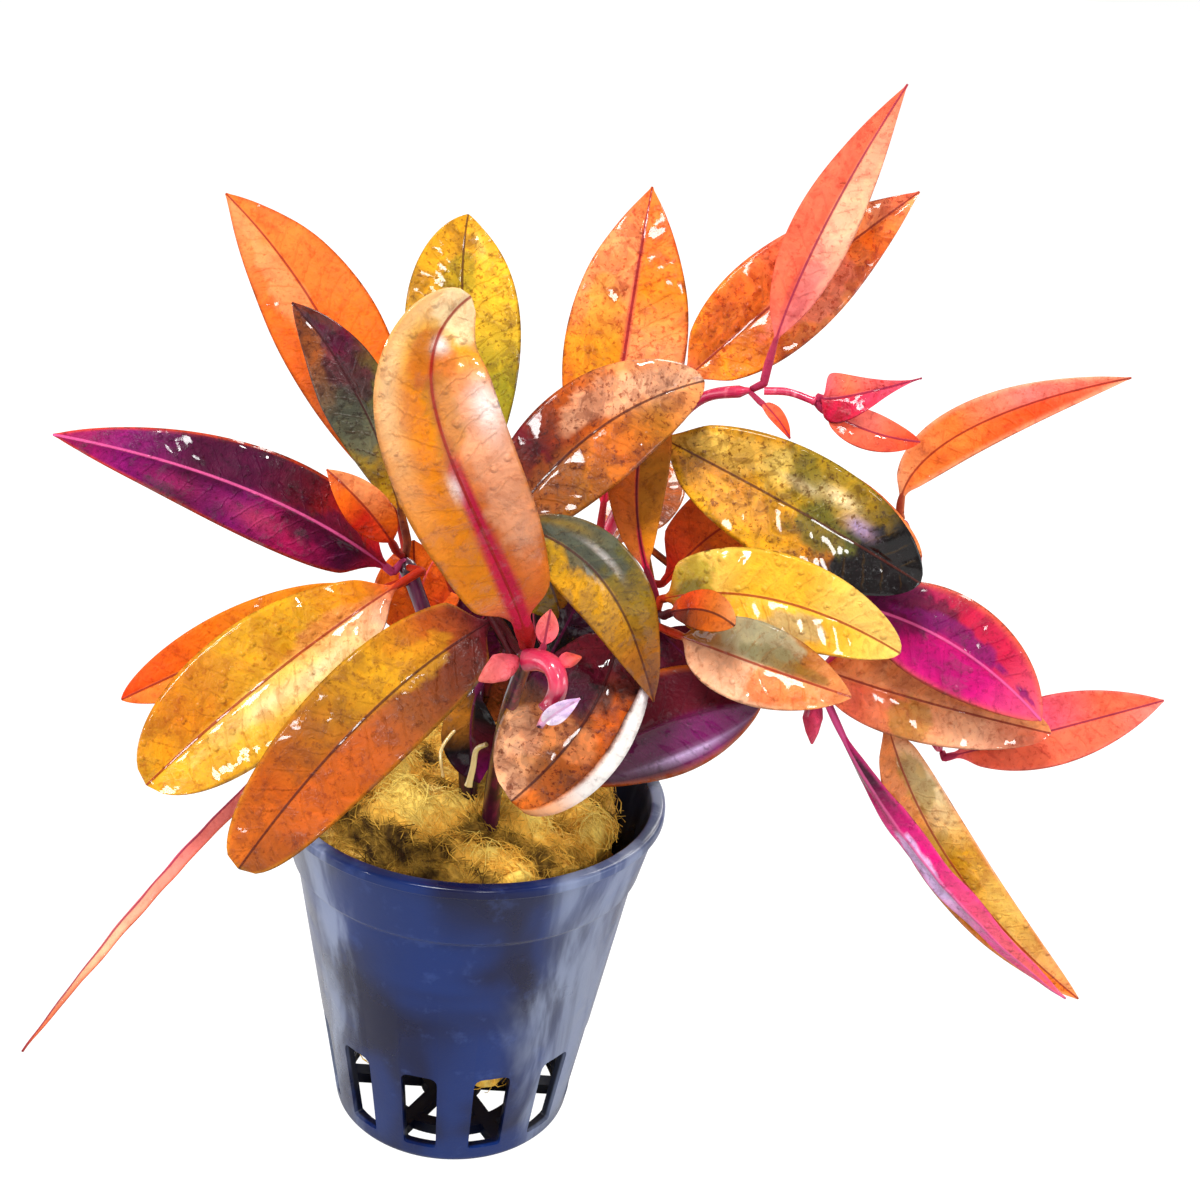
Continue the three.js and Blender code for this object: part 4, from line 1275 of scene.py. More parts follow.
def make_leaf(leaf):
    points, grid = leaf_points(leaf)
    shade, film, mottle = paint_leaf(leaf, points, grid)
    rows, count = points.shape[:2]
    finish = LEAF_FINISHES[leaf["look"]["finish"]]
    obj = mesh_object(leaf["node"] + "_blade", points.reshape(-1, 3), ring_faces(rows, count),
                      finish)
    lengths = np.stack([grid["across"], grid["run"], grid["edge"]], axis=-1)
    lengths[..., 2] *= grid["flat"]
    carry_paint(obj.data, shade, lengths, film, mottle)
    if leaf["node"] in SLOTS:
        settle(obj, leaf["node"])
    else:
        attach(obj, "root")
    return len(obj.data.polygons)


def leaf(node, width, midrib, facing, look, stem, **options):
    """Makes the leaf of one node from its sizes, its midrib and its look.

    The stem is its name and the share of its length where the stalk starts. The
    shape is the power of the width's rise and fall, and left and right hold the
    degrees by which each half is folded up, curled and, where given, rolled.
    """
    sizes = {"node": node, "width": width, "midrib": midrib, "facing": facing, "look": look,
             "stem": stem, "petiole": 0.1, "shape": (0.85, 0.95), "left": (12, -8),
             "right": (12, -8), "stalk": 0.55, "wave": 0.35, "pucker": 1.0, "drift": 0.5,
             "seed": len(node) + int(width * 10) % 17, **options}
    leaf_faces[node] = make_leaf(sizes)


def look(finish, seen, stalk, left, right=None, other=None, **more):
    """How one leaf is painted, with the usual tones for its hidden face."""
    usual = "violet wine" if seen == "upper" else "umber copper"
    return {"finish": finish, "seen": seen, "stalk": stalk, "left": left,
            "right": right or left, "other": other or usual, **more}


# %% [markdown]
# The upper leaves
#
# These stand up at the back and at the top. Most are seen on their upper side, lit through from
# behind: orange, coral and gold, with a red midrib. The tall one in front is the youngest and palest,
# and a thick crimson stalk runs on into its midrib. The olive one that reaches out to the right has
# its tip painted black, as painted shade.

# %% Upper leaves
# The hidden face of a leaf lit through from behind is painted copper and coral: a painted glow.
GLOWING = "copper coral"

leaf("leaf_orange_back_left", 14.5, [(-11.5, 4, 83), (-23.5, 18, 104.5), (-41, 28, 121.5)],
     (0, -0.9, 0.45),
     look("orange", "upper", "red", "orange rust orange peach",
          "tangerine rust orange tangerine tangerine", GLOWING,
          margin=("rust", 0.7, 0.5), patches=[((0.66, -0.3, 0.3, 0.3), "peach", 0.7)],
          film=0.1, mottle=0.6), ("stem_left", 1))
leaf("leaf_bronze_left", 9.5, [(-10.5, -0.8, 84.8), (-17.5, 4, 100.5), (-27.5, 8, 112)],
     (-0.1, -1, 0.15),
     look("brown", "upper", "rust", "gold olive slate umber chestnut",
          "gold olive moss maroon chestnut",
          patches=[((0.72, 0.2, 0.2, 0.6), "plum", 0.75), ((0.85, -0.4, 0.1, 0.4), "umber", 0.6),
                   ((0.42, -0.3, 0.14, 0.6), "slate", 0.8)], film=0.5, mottle=1.3),
     ("stem_left", 1))
leaf("leaf_gold_front", 12.4, [(7.5, -31, 85.5), (2, -44, 104), (-2.6, -48, 117.5),
                               (0.3, -46, 126.5)], (0.3, -0.92, -0.2),
     look("gold", "upper", "crimson",
          "salmon amber amber amber amber gold cream",
          "copper copper copper peach peach gold cream", GLOWING,
          margin=("amber", 1.2, 0.4), band=("crimson", 2.0, 0.75),
          patches=[((0.45, 0.6, 0.2, 0.4), "blush", 0.5), ((0.78, 0.0, 0.1, 0.5), "rust", 0.6),
                   ((0.62, 0.1, 0.12, 0.3), "olive", 0.45), ((0.94, 0.0, 0.08, 0.9), "cream", 0.8)],
          sheens=[((0.6, 0.8, 0.12, 0.28), "white", 1.0), ((0.42, -0.12, 0.04, 0.1), "white", 0.9),
                  ((0.82, 0.1, 0.035, 0.2), "white", 1.0), ((0.7, -0.8, 0.3, 0.3), "cream", 0.6),
                  ((0.3, 0.6, 0.12, 0.3), "blush", 0.6)],
          film=0.35, mottle=0.45, wet=[((0.6, 0.6, 0.25, 0.45), 0.8)]),
     ("stem_front", 1), petiole=0.05, shape=(0.38, 0.48), stalk=1.1)
leaf("leaf_green_back", 15.5, [(-1, 10.5, 84.5), (-6.5, 18, 107), (-7.5, 24, 122.5)],
     (0.05, -0.93, 0.36),
     look("olive", "upper", "gold", "olive green gold gold",
          "olive green yellow gold", GLOWING,
          patches=[((0.7, 0.0, 0.12, 0.4), "green", 0.6)],
          sheens=[((0.85, 0.5, 0.08, 0.16), "straw", 0.7)],
          film=0.4, mottle=1.2), ("stem_back", 1), shape=(0.8, 0.85))
leaf("leaf_coral_centre", 15.8, [(14, 1, 86), (15, 10, 109.5), (16.5, 20, 129)],
     (0, -0.9, 0.4),
     look("orange", "upper", "crimson",
          "peach copper rust amber peach peach tangerine",
          "peach rust amber peach amber tangerine tangerine", GLOWING,
          band=("crimson", 0.9, 0.4), patches=[((0.5, -0.5, 0.2, 0.35), "gold", 0.5)],
          film=0.35, mottle=1.1), ("stem_pink_high", 0.52), shape=(0.85, 1.05))
leaf("leaf_brown_centre", 13, [(0.5, -19, 88), (10.5, -12.5, 103), (25, -3.5, 110)],
     (0.2, -0.87, 0.45),
     look("brown", "upper", "maroon",
          "copper umber maroon rust peach blush",
          "bronze umber bronze copper bronze peach",
          patches=[((0.3, 0.2, 0.2, 0.5), "umber", 0.7), ((0.72, -0.4, 0.2, 0.35), "blush", 0.6)],
          sheens=[((0.85, -0.3, 0.14, 0.5), "blush", 0.8)], film=0.42, mottle=1.3),
     ("stem_front", 0.9), shape=(0.6, 0.65), stalk=0.45)
leaf("leaf_amber_right", 13, [(20.5, 4.2, 105.2), (34.5, 9, 119), (49.5, 12, 132.5)],
     (-0.05, -0.97, 0.23),
     look("orange", "upper", "crimson",
          "peach amber tangerine coral peach coral",
          "peach amber copper peach orange peach", GLOWING,
          patches=[((0.3, -0.4, 0.2, 0.5), "rust", 0.55), ((0.55, 0.4, 0.16, 0.4), "salmon", 0.5)],
          film=0.55, mottle=1.3), ("stem_pink_high", 0.74), shape=(0.65, 1))
leaf("leaf_bronze_upright", 7.8, [(21.5, -9, 84), (18.5, -7, 93), (18, -4, 101),
                                  (19, -0.5, 108)], (0, -0.99, 0.12),
     look("brown", "upper", "crimson",
          "salmon copper rust rust copper copper",
          "peach amber bronze bronze copper amber",
          band=("crimson", 0.6, 0.5), film=0.2, mottle=0.7),
     ("stem_right", 1), shape=(0.8, 0.6))
leaf("leaf_pink_top_right", 7.8, [(32.5, 1.5, 109.3), (36.5, 4, 125.5), (46, 12, 145)],
     (-0.05, -0.95, 0.3),
     look("pink", "upper", "rose", "salmon coral coral coral",
          "salmon salmon blush coral",
          patches=[((0.33, 0.2, 0.16, 0.5), "wine", 0.3)], film=0.1, mottle=0.7),
     ("stem_pink_high", 1), petiole=0.18, shape=(0.85, 1.05))
leaf("leaf_peach_far_right", 6.6, [(52.5, 6, 92.5), (55, 7, 100), (63.5, 5, 107.5),
                                   (76.5, 0, 114.5)], (-0.34, -0.93, 0.15),
     look("orange", "upper", "peach", "blush peach tangerine salmon coral",
          "peach tangerine tangerine flame coral", GLOWING,
          margin=("blush", 0.8, 0.6), film=0.2, mottle=0.7),
     ("twig_peach_right", 1), shape=(0.75, 0.9))
# The black tones and patches at its tip are painted shade.
leaf("leaf_olive_right", 14.6, [(16.5, 0, 103), (37, -6, 96), (54, -8, 88.3)],
     (-0.1, -0.95, 0.3),
     look("olive", "upper", "bronze",
          "copper gold gold olive olive black black",
          "gold gold gold gold bronze black black",
          patches=[((0.84, 0.5, 0.17, 0.85), "black", 1.0), ((0.95, 0.0, 0.13, 1.4), "black", 1.0),
                   ((0.62, 0.1, 0.1, 0.4), "moss", 0.8), ((0.45, -0.6, 0.1, 0.3), "moss", 0.6),
                   ((0.27, -0.4, 0.2, 0.4), "straw", 0.6), ((0.3, 0.4, 0.2, 0.4), "peach", 0.3)],
          sheens=[((0.62, -0.55, 0.07, 0.14), "cream", 0.9), ((0.72, -0.3, 0.06, 0.16), "lilac", 0.7),
                  ((0.5, -0.4, 0.07, 0.1), "cream", 0.7)],
          film=0.5, mottle=1.5, wet=[((0.65, -0.3, 0.25, 0.6), 1.0)]),
     ("stem_right", 1), shape=(0.6, 0.65))
leaf("leaf_rust_behind", 12, [(23, 3, 81), (38, 6, 92.5), (56, 4, 87.5)], (0, -0.94, 0.33),
     look("orange", "upper", "red", "red copper orange peach",
          "orange copper copper peach", film=0.3), ("stem_pink_high", 0.5),
     petiole=0.01, shape=(0.4, 0.7))
print("upper leaves, faces so far", sum(leaf_faces.values()))

# %% [markdown]
# The leaves on the right
#
# They spread low over the rim. Some are turned over, so their magenta
# undersides show, and of the two that hang past the pot one shows each face.
# The broad brown one droops in front of the wool, with one edge rolled over.

# %% Right leaves
leaf("leaf_yellow_right", 11.5, [(22.3, -9.6, 83.6), (35.5, -16, 87.5), (51, -18, 83)],
     (-0.2, -0.91, 0.37),
     look("gold", "upper", "rust", "gold straw yellow yellow straw straw",
          "moss gold yellow yellow yellow straw", GLOWING,
          patches=[((0.14, -0.3, 0.13, 0.6), "green", 0.75), ((0.1, 0.2, 0.1, 0.6), "moss", 0.7),
                   ((0.62, 0.45, 0.14, 0.3), "sage", 0.6)],
          film=0.55, mottle=0.5, wet=[((0.5, 0.3, 0.25, 0.4), 1.0)]),
     ("stem_right", 1), petiole=0.02, shape=(0.42, 0.6))
# Its right half is painted maroon and chestnut, as painted shade.
leaf("leaf_rust_curl", 5, [(22.5, -13, 83), (26.5, -20, 87), (30.5, -24, 87)],
     (-0.6, -0.7, 0.4),
     look("brown", "upper", "maroon", "rust flame copper peach",
          "maroon chestnut rust copper", film=0.3, mottle=0.6),
     ("stem_right", 1), shape=(0.7, 0.6))
leaf("leaf_peach_right", 10, [(23.5, -12, 80.5), (33, -20, 81), (45, -24, 79.5)],
     (-0.37, -0.82, 0.43),
     look("gold", "upper", "rust", "bronze bronze sage bronze peach",
          "umber blush blush blush peach peach",
          patches=[((0.5, -0.6, 0.22, 0.45), "sage", 0.7), ((0.62, -0.25, 0.2, 0.3), "moss", 0.45),
                   ((0.66, 0.5, 0.16, 0.4), "tangerine", 0.75)],
          film=0.8, mottle=0.7), ("stem_right", 0.93), shape=(0.7, 0.8))
leaf("leaf_magenta_right", 12.6, [(44, 2, 81), (58.5, -3, 79.5), (72, -8, 71.5)],
     (0.2, 0.91, -0.37),
     look("purple", "under", "wine", "wine magenta magenta magenta rose",
          "plum violet crimson crimson rose",
          margin=("coral", 1.2, 0.6), patches=[((0.3, 0.3, 0.2, 0.6), "plum", 0.8),
                                               ((0.55, 0.22, 0.3, 0.2), "violet", 0.85)],
          sheens=[((0.55, -0.5, 0.4, 0.6), "violet", 0.5)],
          film=0.25, mottle=0.7), ("stem_low_right", 0.88), shape=(0.7, 0.75))
leaf("leaf_orange_low_right", 11.2, [(44.5, 5.5, 70), (58, 2, 68.2), (75.5, -2, 67)],
     (-0.2, -0.9, 0.41),
     look("orange", "upper", "flame", "tangerine peach peach peach",
          "peach coral peach blush coral",
          patches=[((0.5, 0.5, 0.1, 0.5), "olive", 0.55)], film=0.75, mottle=0.7),
     ("stem_low_right", 1), petiole=0.04, shape=(0.5, 0.6))
leaf("leaf_red_far_right", 9.6, [(64, 5, 58.5), (77, 4, 64.5), (90.5, 2, 71.5)],
     (-0.3, -0.87, 0.4),
     look("pink", "upper", "rose", "salmon coral rose coral coral",
          "coral coral coral coral salmon",
          margin=("salmon", 0.6, 0.5), film=0.1, mottle=0.7),
     ("twig_far_right", 1), petiole=0.05, shape=(0.8, 0.9))
leaf("leaf_yellow_hanging", 9, [(54.5, 5, 65.5), (67, 3, 43.5), (88, 0, 25)],
     (0.06, -0.98, 0.17),
     look("gold", "upper", "peach", "tangerine cream gold straw peach",
          "copper peach gold amber orange",
          margin=("peach", 0.7, 0.7), patches=[((0.25, -0.3, 0.1, 0.5), "olive", 0.6),
                                               ((0.5, 0.0, 0.12, 0.5), "olive", 0.4)],
          film=0.6, mottle=0.8), ("twig_far_right", 0.36), petiole=0.05, shape=(0.6, 0.8))
leaf("leaf_magenta_hanging", 4.6, [(47.5, 6, 64.5), (62.5, 0, 45.5), (85, -3, 27)],
     (0.37, 0.91, 0.16),
     look("purple", "under", "wine", "maroon wine fuchsia lilac fuchsia coral",
          "plum plum magenta rose coral",
          margin=("fuchsia", 0.6, 0.6), patches=[((0.5, -0.3, 0.1, 0.5), "lilac", 0.8)],
          film=0.5, mottle=0.6), ("stem_low_right", 1), shape=(0.8, 0.8))
leaf("leaf_purple_low", 13.5, [(10.5, -9, 54.5), (23, -12, 67), (36, -14, 73)],
     (0.36, 0.91, -0.23),
     look("plum", "under", "plum", "black plum plum violet plum",
          "plum plum maroon maroon maroon",
          margin=("rust", 0.9, 0.9), sheens=[((0.62, -0.68, 0.26, 0.09), "lilac", 0.95),
                                             ((0.6, -0.4, 0.3, 0.3), "violet", 0.6)],
          film=0.4, mottle=0.25, wet=[((0.7, -0.5, 0.4, 0.4), 0.9)]),
     ("stem_right", 0.3), shape=(0.7, 0.7))
leaf("leaf_olive_arched", 9, [(0.5, -26, 97.4), (11.5, -26.6, 95), (18.3, -23, 85.8),
                              (22.5, -20, 74.5)], (0.37, -0.92, -0.14),
     look("olive", "upper", "bronze",
          "copper slate moss olive bronze maroon",
          "copper olive gold gold bronze umber",
          margin=("bronze", 0.5, 0.5),
          patches=[((0.32, -0.35, 0.17, 0.6), "slate", 0.9)],
          sheens=[((0.42, -0.45, 0.1, 0.08), "white", 0.8), ((0.25, -0.7, 0.12, 0.2), "olive", 0.7)],
          film=0.4, mottle=0.9,
          wet=[((0.35, -0.4, 0.3, 0.6), 1.0)]),
     ("stem_front", 1), shape=(0.65, 1.0))
# The underside that its rolled edge shows is painted white and lilac: a painted highlight along the
# roll.
leaf("leaf_brown_drooping", 18, [(17.5, -12, 81.5), (15, -20.5, 72.5), (6.7, -26, 62.6)],
     (0.05, -0.84, 0.54),
     look("brown", "upper", "maroon", "maroon maroon umber copper copper",
          "maroon maroon plum bronze blush",
          [(0, "lilac"), (0.4, "white"), (0.78, "white"), (0.88, "blush"), (1, "bronze")],
          patches=[((0.5, -0.5, 0.14, 0.4), "orange", 0.6), ((0.68, 0.4, 0.12, 0.4), "peach", 0.7),
                   ((0.82, -0.1, 0.1, 0.4), "umber", 0.7), ((0.78, 0.6, 0.1, 0.3), "blush", 0.7),
                   ((0.65, -0.1, 0.08, 0.3), "peach", 0.6)],
          film=0.45, mottle=1.4, hidden_mottle=0.15),
     ("stem_right", 0.85), petiole=0.05, shape=(0.6, 0.42), left=(0, 10, 150), right=(10, 14))
print("right leaves, faces so far", sum(leaf_faces.values()))

# %% [markdown]
# The leaves on the left
#
# Three broad ones droop over the rim, and the amber one of them is the
# brightest and wettest leaf of all. The purple one shows its underside, and a
# narrow pink one is seen on edge.

# %% Left leaves
leaf("leaf_purple_left", 11.5, [(-12, -2.5, 81), (-29, -8, 92), (-51.5, -12, 98)],
     (-0.32, 0.9, -0.28),
     look("purple", "under", "crimson",
          "red red maroon plum plum violet wine",
          "maroon plum wine violet plum violet wine",
          margin=("flame", 0.5, 0.8), patches=[((0.22, 0.1, 0.14, 0.5), "plum", 0.8),
                                               ((0.6, -0.4, 0.12, 0.5), "plum", 0.6)],
          sheens=[((0.45, 0.5, 0.1, 0.3), "rose", 0.35), ((0.7, 0.5, 0.1, 0.3), "fuchsia", 0.2)],
          film=0.3, mottle=0.9), ("stem_left", 1), petiole=0.04, shape=(0.5, 0.85))
leaf("leaf_red_small_left", 5.6, [(-11, -5.5, 85), (-14, -9, 91), (-19.5, -9, 96)],
     (0.35, -0.93, 0.09),
     look("orange", "upper", "red", "red flame red orange tangerine",
          "red orange peach peach", GLOWING, film=0.3, mottle=0.7),
     ("stem_left", 1))
leaf("leaf_red_low_left", 9.5, [(-10.5, -5, 80.5), (-25.5, -12, 75), (-41.5, -20, 68)],
     (0.2, -0.89, 0.41),
     look("orange", "upper", "flame", "copper peach amber amber tangerine",
          "tangerine amber amber orange flame", GLOWING,
          film=0.2, mottle=0.6), ("stem_left", 0.9), shape=(0.7, 0.7))
leaf("leaf_amber_low_left", 15.2, [(-7.5, -9, 84), (-21.5, -20, 75), (-35, -32, 63.5)],
     (0.29, -0.81, 0.51),
     look("gold", "upper", "flame",
          "peach blush straw yellow yellow gold",
          "coral amber gold gold amber gold",
          patches=[((0.3, 0.0, 0.2, 0.3), "peach", 0.5), ((0.62, -0.25, 0.25, 0.25), "straw", 0.7)],
          sheens=[((0.45, -0.45, 0.16, 0.24), "cream", 0.8), ((0.62, -0.3, 0.1, 0.16), "cream", 0.7)],
          film=0.55, mottle=0.8, wet=[((0.55, -0.2, 0.4, 0.35), 1.0)]),
     ("stem_left", 0.98), shape=(0.7, 0.5))
leaf("leaf_copper_front_left", 13, [(2.5, -20, 83), (-10.3, -29.6, 73.8), (-22.5, -39.6, 58.3)],
     (0.18, -0.85, 0.49),
     look("brown", "upper", "maroon",
          "maroon chestnut umber rust rust umber",
          "plum rust gold bronze rust copper",
          margin=("gold", 0.6, 0.4), patches=[((0.3, 0.2, 0.14, 0.35), "gold", 0.5)],
          film=0.35, mottle=0.8), ("stem_front", 0.97), petiole=0.01, shape=(0.35, 0.4))
leaf("leaf_pink_blade_left", 3.2, [(-8, -14, 74), (-28, -24, 56), (-48.5, -38, 29)],
     (0.62, 0.31, -0.72),
     look("pink", "under", "flame", "coral rose rose rose salmon copper",
          "coral rose salmon salmon blush rust",
          margin=("coral", 0.4, 0.5), film=0.2, mottle=0.3), ("stem_left", 0.65),
     wave=0.05, drift=0.1)
print("left leaves, faces so far", sum(leaf_faces.values()))

# %% [markdown]
# The leaves inside and behind
#
# The inner ones are seen only in the gaps between the others, as dark or glowing slivers. The dark
# ones are painted black, plum and maroon, as painted shade of the hollow inside the bunch. They are
# too small to be parts of the model and are made here only, so they stand for no node. The back ones
# close the bunch when the plant is turned. All have the same tones and the same build as the others.

# %% Inner and back leaves
leaf("leaf_maroon_inside", 11, [(8.5, -4, 70), (11.5, -8.5, 79.5), (14.5, -10, 88)],
     (0.2, 0.95, -0.1),
     look("plum", "under", "plum", "black black plum maroon",
          margin=("rose", 0.45, 0.9), film=0.3, mottle=0.5), ("stem_right", 0.45))
leaf("inner_leaf_brown", 12.5, [(3.5, 1, 77), (2, 4, 67), (0, 6, 56)], (0, -1, 0.3),
     look("brown", "upper", "maroon", "maroon plum chestnut umber",
          "plum plum maroon chestnut", film=0.4), ("stem_back", 0.85))
leaf("inner_leaf_olive", 9, [(11, -6, 76), (8.5, -11, 85), (5, -15, 92)], (0, -1, 0.2),
     look("olive", "upper", "rust", "umber olive gold olive",
          "maroon bronze olive gold", film=0.4), ("stem_right", 0.5))
leaf("inner_leaf_orange", 12, [(-5.5, 1, 69), (-9, 4, 75.5), (-10.5, 7, 82)], (0, -1, 0.2),
     look("orange", "upper", "red", "flame orange orange", film=0.3),
     ("stem_left", 0.6))
leaf("inner_leaf_chestnut", 9.5, [(-1.9, 4, 69.6), (-4.2, 3.5, 75), (-6.8, 4, 81.5)], (0, -1, 0.2),
     look("orange", "upper", "maroon", "orange flame orange",
          "maroon plum maroon", margin=("rose", 0.45, 0.8), film=0.3),
     ("stem_back", 0.8))
leaf("inner_leaf_dark", 7.5, [(0.8, -8.8, 69.5), (0, -9.2, 62.5), (1.6, -9.6, 55.4)], (0, -1, 0.1),
     look("plum", "upper", "plum", "black black maroon violet",
          "black bronze black plum", film=0.3, mottle=0.6),
     ("stem_left", 0.62))
leaf("inner_leaf_wine", 8.5, [(22, -6, 79), (26.5, -8, 75.5), (33, -9.5, 72.5)], (0, -1, 0.3),
     look("plum", "upper", "maroon", "maroon maroon plum",
          "plum maroon maroon", film=0.4), ("stem_right", 0.95))
leaf("inner_leaf_plum", 9, [(5, -3, 69), (6, -5, 77), (8, -7, 86)], (0, -1, 0.1),
     look("plum", "upper", "plum", "black black plum", film=0.3),
     ("stem_right", 0.4))
leaf("leaf_back_left", 12, [(-11.5, 5, 78), (-22, 26, 62), (-33, 40, 50)],
     (-0.35, 0.7, 0.6),
     look("purple", "upper", "crimson", "wine violet wine",
          "crimson wine crimson", GLOWING, margin=("rose", 0.8, 0.5), film=0.5),
     ("stem_left", 0.84))
leaf("leaf_back_upright", 12, [(-3, 12, 82), (-10, 32, 84), (-14, 47, 88)],
     (-0.1, -0.2, 1),
     look("olive", "upper", "bronze", "olive gold gold",
          "bronze olive amber", margin=("copper", 0.8, 0.5), film=0.5),
     ("stem_back", 0.95))
leaf("leaf_back_centre", 12, [(14.5, 12.5, 80), (19.5, 30, 83.5), (20, 44, 87)],
     (0.1, -0.3, 1),
     look("brown", "upper", "rust", "rust copper peach",
          "umber copper copper", margin=("peach", 0.8, 0.4), film=0.5),
     ("stem_pink_high", 0.46))
leaf("leaf_back_low", 12, [(9.5, 11, 67), (15.5, 28, 60), (19, 42, 45)],
     (0.1, 0.6, 0.8),
     look("purple", "upper", "wine", "violet wine magenta",
          "plum violet wine", GLOWING, margin=("rose", 0.8, 0.5), film=0.5),
     ("stem_pink_high", 0.38))
leaf("leaf_back_right", 12, [(27, 11, 79.5), (33, 28, 77.5), (41, 42, 77)],
     (0.1, 0.1, 1),
     look("brown", "upper", "rust", "copper amber peach",
          "rust copper tangerine", margin=("gold", 0.8, 0.4), film=0.5),
     ("stem_pink_high", 0.54))
leaf("leaf_back_low_right", 12, [(33, 14, 69), (42, 32, 59), (53, 44, 49.5)],
     (0.4, 0.5, 0.8),
     look("purple", "upper", "wine", "wine crimson rose",
          "violet wine crimson", GLOWING, margin=("rose", 0.8, 0.5), film=0.5),
     ("stem_low_right", 0.63))
print("back leaves, faces so far", sum(leaf_faces.values()))

# %% [markdown]
# Young shoots and buds
#
# The youngest leaves are thin and pink. A bud is a few leaves still folded
# over each other, so its skin is a spindle with slanting ridges where one
# leaf edge lies over the next.

# %% Shoots
YOUNG = "rose salmon"
TENDER = {"stalk": 0.4, "wave": 0.1, "drift": 0.1}

leaf("shoot_leaf", 2.6, [(9.2, -31.8, 85.3), (9.4, -31.2, 87.3), (9.6, -30.5, 89.5)],
     (0.1, -1, 0.1), look("pink", "upper", "rose", "rose salmon", other=YOUNG),
     ("shoot_twig", 0.02), **TENDER)
leaf("shoot_pale_leaf", 2.4, [(9.8, -35, 77.4), (11.2, -35.4, 79.2), (13.8, -35, 81.2)],
     (0.2, -1, 0.2), look("pale", "upper", "salmon", "white lilac", other=YOUNG),
     ("shoot_twig", 1), **TENDER)
leaf("bud_leaf_pink", 6.2, [(39.5, 0, 108.4), (43, -1, 109.2), (51.5, 0, 112)],
     (0, -1, 0.2), look("pink", "upper", "rose", "rose coral rose",
                        "crimson crimson rose", YOUNG, mottle=1.3),
     ("bud_twig", 1), petiole=0.04, shape=(0.6, 1.5), wave=0.9, drift=0.9)
leaf("bud_leaf_red", 4.8, [(40, 0, 107), (46, -1, 105), (52.5, 0, 104)],
     (0, -1, 0.3), look("pink", "upper", "rose", "rose salmon coral flame",
                        "coral coral flame", YOUNG, mottle=0.6),
     ("bud_twig", 1), petiole=0.04, shape=(0.6, 0.8))
leaf("leaf_narrow_right", 2.4, [(32.6, 1.5, 106.8), (34.4, 0.5, 105.4), (36.5, -0.5, 103)],
     (0.6, -0.8, 0.4), look("pink", "upper", "rose", "coral flame", other=YOUNG),
     ("stem_pink_high", 1), petiole=0.04, **TENDER)
print("leaves", len(leaf_faces), "with faces", sum(leaf_faces.values()))

# %% Buds
BUD_ROWS = 28
BUD_SIDES = 32


def make_bud(node, base, tip, radius, foot, top):
    """A closed spindle whose skin has slanting ridges."""
    base, tip = np.array(base, float), np.array(tip, float)
    axis = unit(tip - base)
    side = unit(np.cross((0, 1, 0), axis))
    other = np.cross(axis, side)
    t = np.linspace(0, 1, BUD_ROWS)[:, None]
    angle = (np.arange(BUD_SIDES) * 2 * math.pi / BUD_SIDES)[None]
    swell = np.interp(t, [0, 0.1, 0.25, 0.45, 0.75, 0.95, 1], [0.35, 0.62, 0.88, 1, 0.65, 0.24, 0.1])
    ridge = 1 + 0.16 * np.abs(np.sin(1.5 * angle + 2.2 * t)) ** 3 * np.sin(math.pi * t)
    wide = radius * swell * ridge
    points = (base + axis * (t * np.linalg.norm(tip - base))[..., None]
              + side * (wide * np.cos(angle))[..., None]
              + other * (wide * np.sin(angle))[..., None])
    faces = [tuple(reversed(face)) for face in ring_faces(BUD_ROWS, BUD_SIDES)]
    bud = mesh_object(node + "_skin", points.reshape(-1, 3), faces, LEAF_FINISHES["pink"])
    shade = run_of(foot + " " + top, np.broadcast_to(t, wide.shape))
    # The colour is darkened in the grooves and lightened on the ridges: painted shade and painted
    # light.
    shade = np.clip(shade * (ridge / 1.08)[..., None] ** 3, 0, 1)
    carry_paint(bud.data, shade, np.full(wide.shape + (3,), 2.0), np.full(wide.shape, 0.3),
                np.full(wide.shape, 0.7))
    settle(bud, node)


make_bud("shoot_bud", (6.4, -31.3, 83.5), (2.6, -35, 82.2), 1.5, "rose", "salmon")
make_bud("shoot_stub", (10.9, -33, 84.3), (13.5, -32.6, 85.1), 0.85, "rose", "coral")
make_bud("bud_low_right", (45.1, 5.3, 65.6), (45.4, 3, 59.6), 1.3, "wine", "rose")
print("buds made with faces", len(ring_faces(BUD_ROWS, BUD_SIDES)), "each")

# %% [markdown]
# Light and floor
#
# The plant is lit like a product picture on white. A soft light from the upper
# left front gives the wet leaves their sheen, a weaker one in front fills the
# shadows, and two small ones make glints. One behind and above shines through
# the blades, and a pale panel on each side edges the pot. Places and sizes of
# the lights are in metres. The sky and the floor look white, but shine less on
# the plant than they look, which keeps the dark leaves dark: a Light Path node
# tells the two apart, on the stage only.

# %% Light and floor
SKY_ON_PLANT = 0.42
FLOOR_HALF_SIZE = 12000
FLOOR_GLOW = 1.36
WARM = (1, 0.97, 0.92)
COOL = (0.9, 0.95, 1)


def area_light(name, place, target, size, power, tint=(1, 1, 1)):
    data = bpy.data.lights.new(name, "AREA")
    data.shape = "DISK"
    data.size = size
    data.energy = power
    data.color = tint
    light = bpy.data.objects.new(name, data)
    light.location = Vector(place)
    direction = Vector(target) - Vector(place)
    light.rotation_euler = direction.to_track_quat("-Z", "Y").to_euler()
    bpy.context.collection.objects.link(light)


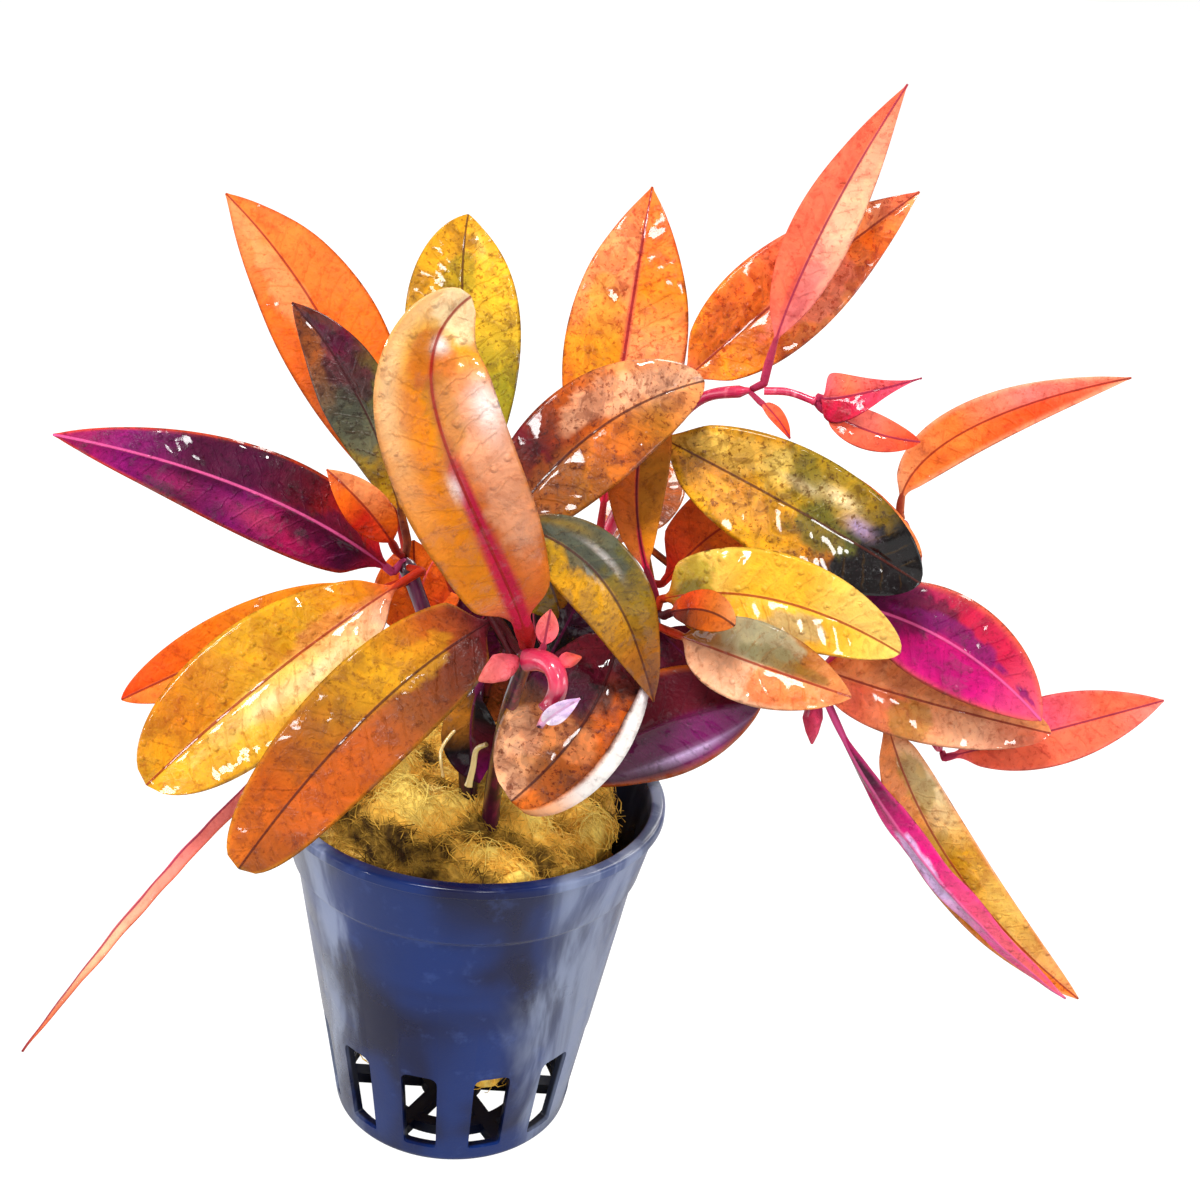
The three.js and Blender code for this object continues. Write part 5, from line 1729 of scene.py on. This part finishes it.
def make_world():
    world = bpy.data.worlds.new("sky")
    world.use_nodes = True
    tree = Tree(world.node_tree)
    world.node_tree.nodes.clear()
    seen = tree.add("ShaderNodeLightPath").out("Is Camera Ray")
    dim = tree.add("ShaderNodeBackground", None, {
        "Color": (1, 0.98, 0.95, 1), "Strength": SKY_ON_PLANT})
    white = tree.add("ShaderNodeBackground", None, {"Color": (1, 1, 1, 1), "Strength": 1.0})
    sky = tree.add("ShaderNodeMixShader", None, {0: seen, 1: dim, 2: white})
    tree.add("ShaderNodeOutputWorld", None, {"Surface": sky})
    bpy.context.scene.world = world


def make_floor():
    material, tree = new_material("floor_finish")
    seen = tree.add("ShaderNodeLightPath").out("Is Camera Ray")
    matte = tree.add("ShaderNodeBsdfDiffuse", None, {"Color": rgba("#B8B8B8")})
    lit = tree.add("ShaderNodeEmission", None, {"Color": (1, 1, 1, 1), "Strength": FLOOR_GLOW})
    white = tree.add("ShaderNodeMixShader", None, {0: seen * 0.75, 1: matte, 2: lit})
    tree.add("ShaderNodeOutputMaterial", None, {"Surface": white})
    half = FLOOR_HALF_SIZE
    corners = [(-half, -half, 0), (half, -half, 0), (half, half, 0), (-half, half, 0)]
    floor = mesh_object("floor", corners, [(0, 1, 2, 3)], material)


make_world()
area_light("key", (-0.2, -0.4, 0.8), (0.01, 0, 0.08), size=0.3, power=7.4)
area_light("front", (0.2, -0.75, 0.5), (0.01, 0, 0.08), size=0.16, power=2)
area_light("glow", (0.25, 0.6, 0.55), (0.01, 0, 0.09), size=0.4, power=4.4, tint=WARM)
area_light("side_left", (-0.62, -0.05, 0.06), (0, 0, 0.04), size=0.5, power=2.2, tint=COOL)
area_light("side_right", (0.62, -0.12, 0.06), (0, 0, 0.04), size=0.4, power=1.8, tint=COOL)
area_light("glint_left", (-0.6, -0.5, 0.35), (0, 0, 0.08), size=0.06, power=0.7)
area_light("glint_right", (0.5, -0.35, 0.7), (0.03, 0, 0.08), size=0.06, power=0.8)
make_floor()
bpy.context.scene.view_settings.view_transform = "Standard"
bpy.context.scene.view_settings.look = "None"

# %% [markdown]
# Finish
#

# %% Finish
print("finished")
